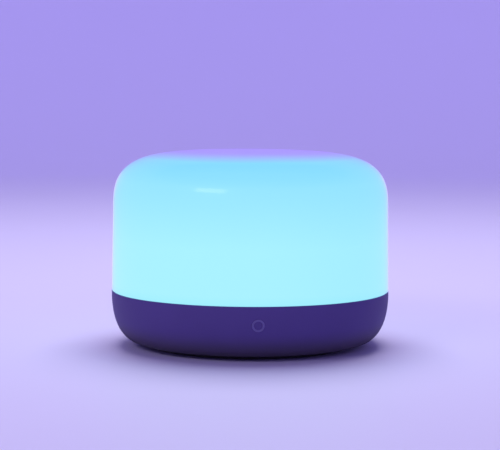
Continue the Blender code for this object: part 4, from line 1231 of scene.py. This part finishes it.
class LAMP_OT_chassis(LampPieces):
    """Makes the turned pieces between shade and base: deck, heat sink, pad, light board and gasket"""

    bl_idname = "lamp.chassis"
    bl_label = "Chassis"

    def make(self, looks):
        self.make_deck(looks.segments)
        self.make_sink(looks.segments)
        pad = moulded("gap_pad", (0.40, 0.47, 0.58), 0.85, 0.0008, 0.00008)
        board = solder_mask("white_mask", (0.84, 0.84, 0.81), (0.70, 0.68, 0.60))
        self.make_layer("heat_pad", pad, "thermal_pad", "thermal_pad", looks.segments)
        self.make_layer("light_board", board, "white_board", "led_board", looks.segments)
        low, high = [corner.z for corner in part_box("shade_gasket")]
        outer = BODY_RADIUS - RIM_WALL - GAP
        inner = outer - TONGUE_THICKNESS
        ring = [(inner, low, 0.0002), (outer, low, 0.0002), (outer, high, 0.0002), (inner, high, 0.0002)]
        foam = moulded("foam", (0.62, 0.62, 0.60), 0.92, 0.0006, 0.00025, 0.25)
        complete(turned("foam_ring", ring, looks.segments), foam, "foam", "shade_gasket")

    def make_layer(self, name, finish, slot, node, segments):
        """A round layer on the heat sink, with its three screw holes."""
        low, high = [corner.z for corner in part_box(node)]
        edge = (high - low) / 6
        outline = [(0, low), (LED_BOARD_RADIUS, low, edge), (LED_BOARD_RADIUS, high, edge), (0, high)]
        piece = turned(name, outline, segments)
        spots = spots_around(LED_SCREW_RING, LED_SCREW_ANGLES)
        cut_holes(piece, SCREW_M2[0] + GAP, low - GAP, high + GAP, spots)
        complete(piece, finish, slot, node)

    def make_deck(self, segments):
        wall, rise = DECK_COLLAR
        top = DECK_UNDERSIDE + DECK_THICKNESS
        inner = DOME_RADIUS + GAP
        outer = inner + wall
        outline = [
            (WINDOW_RADIUS, DECK_UNDERSIDE, 0.0003),
            (DECK_RADIUS, DECK_UNDERSIDE, 0.0003),
            (DECK_RADIUS, top, 0.0003),
            (outer, top, 0.0003),
            (outer, top + rise, 0.0004),
            (inner, top + rise, 0.0004),
            (inner, top),
            (WINDOW_RADIUS, top, 0.0003),
        ]
        piece = turned("shade_deck", outline, segments)
        cut_holes(piece, SCREW_M3[0] + GAP, DECK_UNDERSIDE - GAP, top + GAP, column_spots())
        finish = moulded("deck_plastic", (0.80, 0.80, 0.78), 0.42, 0.0005)
        complete(piece, finish, "white_plastic", "light_deck")

    def make_sink(self, segments):
        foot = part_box("heat_sink")[0].z
        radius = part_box("heat_sink")[1].x
        under = SINK_TOP - SINK_PLATE
        outline = [(0, SINK_TOP), (0, under)]
        widest = LED_SCREW_RING - SCREW_M2[1] - SINK_RING_WALL
        for number in range(SINK_RINGS):
            outer = widest - SINK_RING_PITCH * (SINK_RINGS - 1 - number)
            inner = outer - SINK_RING_WALL
            outline += [(inner, under), (inner, foot, 0.0004), (outer, foot, 0.0004), (outer, under)]
        outline += [(radius, under, 0.0003), (radius, SINK_TOP, 0.0003)]
        piece = turned("cooling_plate", outline, segments)
        middle = (WINDOW_RADIUS + LED_BOARD_RADIUS) / 2
        for hole, spots in (
            (SCREW_M3[0] + GAP, column_spots()),
            (SCREW_M2[0] + GAP, spots_around(LED_SCREW_RING, LED_SCREW_ANGLES)),
            (LEAD_HOLE_RADIUS, spots_around(middle, [LEAD_HOLE_ANGLE])),
        ):
            cut_holes(piece, hole, under - GAP, SINK_TOP + GAP, spots)
        finish = machined("turned_aluminium", (0.70, 0.71, 0.73), 0.32, 0.0005, (1, 1, 6))
        complete(piece, finish, "aluminium", "heat_sink")


class LAMP_OT_electronics(LampPieces):
    """Makes the board screws and capacitors, and dresses the boards, their parts and the leads"""

    bl_idname = "lamp.electronics"
    bl_label = "Electronics"

    def make(self, looks):
        steel = machined("board_screw_steel", (0.56, 0.56, 0.57), 0.32, 0.0005)
        middle = (STANDOFF_FRONT + STANDOFF_BACK) / 2
        place = Matrix.Translation((0, middle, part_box("board_screw_1")[1].z - SCREW_M2[2]))
        size = (2 * STANDOFF_SIDE, STANDOFF_BACK - STANDOFF_FRONT)
        nodes = numbered("board_screw", 4)
        screw_grid("board_screws", SCREW_M2, BOARD_SCREW_LENGTH, (2, 2), size, place, steel, nodes)
        axis = press_axis(looks.base)
        place = axis @ Matrix.Translation((0, 0, BUTTON_BOARD_BACK + GAP))
        size = (BUTTON_SCREW_SPREAD, 0.0)
        reach = BUTTON_BOARD_BACK - looks.base.wall - 2 * GAP
        nodes = numbered("button_screw", 2)
        screw_grid("button_screws", SCREW_M2, reach, (2, 1), size, place, steel, nodes)
        green = solder_mask("green_mask", (0.012, 0.110, 0.045), (0.10, 0.30, 0.12))
        dress(green, "driver_board", "button_board", "wifi_module")
        dress(machined("tinned_lid", (0.70, 0.70, 0.69), 0.30, 0.0012), "wifi_shield")
        dress(moulded("chip_epoxy", (0.016, 0.016, 0.017), 0.44, 0.0003), "driver_chip", "tact_switch")
        dress(moulded("ferrite", (0.060, 0.060, 0.064), 0.70, 0.0006, 0.00006), "inductor")
        self.make_cans()
        housing = moulded("header_plastic", (0.82, 0.80, 0.72), 0.42, 0.0006)
        dress(housing, "button_connector", "switch_plunger")
        dress(moulded("guide_plastic", (0.80, 0.80, 0.78), 0.45, 0.0005), "button_guide")
        sheath = moulded("lead_sheath", (0.62, 0.62, 0.63), 0.48, 0.0008, 0.00002)
        dress(sheath, "led_lead", "button_lead")

    def make_cans(self):
        """The two capacitors: a sleeved can with a rolled groove near its foot and a lipped top."""
        finish = sleeved_can()
        for number, node in enumerate(numbered("capacitor", 2), 1):
            low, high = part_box(node)
            radius = (high.x - low.x) / 2
            height = high.z - low.z
            lip = radius * CAN_LIP_SHARE
            outline = [
                (0, 0),
                (radius, 0, 0.0002),
                (radius, 2 * CAN_GROOVE, 0.0001),
                (radius - CAN_GROOVE, 3 * CAN_GROOVE, 0.0001),
                (radius, 4 * CAN_GROOVE, 0.0001),
                (radius, height, 0.0003),
                (lip, height, 0.0001),
                (lip - CAN_LIP / 2, height - CAN_LIP),
                (0, height - CAN_LIP),
            ]
            piece = turned(f"sleeved_can_{number}", outline)
            piece.data.transform(Matrix.Translation(((low.x + high.x) / 2, (low.y + high.y) / 2, low.z)))
            complete(piece, finish, "capacitor", node)


class LAMP_OT_stage(LampPieces):
    """Makes the table top, the softboxes, the room's light and the camera"""

    bl_idname = "lamp.stage"
    bl_label = "Stage"

    def make(self, looks):
        stage = looks.stage
        self.make_floor(stage)
        self.make_room(stage)
        self.softbox("key", stage.key_power, KEY_PLACE, KEY_SIZE, (1.0, 0.93, 0.98))
        self.softbox("top", stage.top_power, TOP_PLACE, TOP_SIZE, (0.96, 0.94, 1.0), mirrored=False)
        self.make_camera(stage)
        bpy.context.scene.view_settings.view_transform = "Standard"

    def make_floor(self, stage):
        """The table top, which sweeps up into a round backdrop."""
        outline = [(0, 0), *straight((0, 0), (FLOOR_RADIUS, 0), FLOOR_RINGS)]
        for step in range(STAGE_STEPS + 1):
            angle = math.pi / 2 * step / STAGE_STEPS
            radius = FLOOR_RADIUS + SWEEP_RADIUS * math.sin(angle)
            outline.append((radius, SWEEP_RADIUS * (1 - math.cos(angle))))
        wall = FLOOR_RADIUS + SWEEP_RADIUS
        outline += [(wall, BACKDROP_TOP), (wall + BACKDROP_THICKNESS, BACKDROP_TOP)]
        outline += [(wall + BACKDROP_THICKNESS, -BACKDROP_THICKNESS), (0, -BACKDROP_THICKNESS)]
        floor = turned("floor", outline, STAGE_SEGMENTS)
        finish = Finish("table_top", Specular_IOR_Level=0.3)
        cloud = finish.noise(0.35, 2.0)
        grain = finish.noise(0.0015, 2.0)
        tint = tuple(stage.floor_colour)
        finish.set(Base_Color=finish.mix(cloud, scaled(tint, 0.97), tint))
        finish.set(Roughness=0.55 + (grain - 0.5) * 0.1)
        across = finish.node("ShaderNodeVectorMath", {"operation": "LENGTH"}, {0: finish.place}, "Value")
        far = finish.smooth(across, 0.5, wall)
        finish.set(Emission_Color=finish.mix(far, (0, 0, 0), tuple(stage.wall_glow)))
        finish.shader.inputs["Emission Strength"].default_value = 1.0
        paint(smooth(floor), finish)

    def make_room(self, stage):
        world = bpy.data.worlds.new("room")
        world.use_nodes = True
        light = world.node_tree.nodes["Background"]
        light.inputs["Color"].default_value = (*stage.room_colour, 1.0)
        light.inputs["Strength"].default_value = stage.room_strength
        bpy.context.scene.world = world

    def softbox(self, name, power, place, size, tint, mirrored=True):
        light = bpy.data.lights.new(name, "AREA")
        light.energy = power
        light.shape = "RECTANGLE"
        light.size, light.size_y = size
        light.color = tint
        lamp = bpy.data.objects.new(name, light)
        bpy.context.scene.collection.objects.link(lamp)
        lamp.location = place
        lamp.visible_glossy = mirrored
        aim = Vector((0, 0, BODY_HEIGHT / 2)) - Vector(place)
        lamp.rotation_euler = aim.to_track_quat("-Z", "Y").to_euler()

    def make_camera(self, stage):
        data = bpy.data.cameras.new("camera")
        data.lens = stage.lens
        data.shift_x = stage.shift
        camera = bpy.data.objects.new("camera", data)
        bpy.context.scene.collection.objects.link(camera)
        heading = Matrix.Rotation(stage.camera_azimuth, 4, "Z")
        stand = heading @ Matrix.Translation((0, -stage.camera_distance, stage.camera_height))
        tilt = Matrix.Rotation(math.pi / 2 - stage.camera_pitch, 4, "X")
        camera.matrix_world = stand @ tilt @ Matrix.Rotation(stage.camera_roll, 4, "Z")
        bpy.context.scene.camera = camera


OPERATORS = (
    LAMP_OT_shade,
    LAMP_OT_base,
    LAMP_OT_button,
    LAMP_OT_underside,
    LAMP_OT_socket,
    LAMP_OT_light_source,
    LAMP_OT_chassis,
    LAMP_OT_electronics,
    LAMP_OT_stage,
)


class LAMP_PT_looks(bpy.types.Panel):
    """The lamp's settings and operators"""

    bl_label = "Lamp"
    bl_space_type = "VIEW_3D"
    bl_region_type = "UI"
    bl_category = "Lamp"

    def draw(self, context):
        looks = context.scene.lamp_looks
        self.layout.prop(looks, "segments")
        for group in (looks.shade, looks.base, looks.button, looks.stage):
            box = self.layout.box()
            for name in group.bl_rna.properties.keys()[2:]:  # after rna_type and name
                box.prop(group, name)
        for operator in OPERATORS:
            self.layout.operator(operator.bl_idname)


CLASSES = (ShadeLooks, BaseLooks, ButtonLooks, StageLooks, LampLooks, *OPERATORS, LAMP_PT_looks)


def register():
    for entry in CLASSES:
        bpy.utils.register_class(entry)
    bpy.types.Scene.lamp_looks = PointerProperty(type=LampLooks)


def unregister():
    del bpy.types.Scene.lamp_looks
    for entry in reversed(CLASSES):
        bpy.utils.unregister_class(entry)


def main():
    register()
    for operator in OPERATORS:
        group, name = operator.bl_idname.split(".")
        getattr(getattr(bpy.ops, group), name)()


if __name__ == "__main__":
    main()
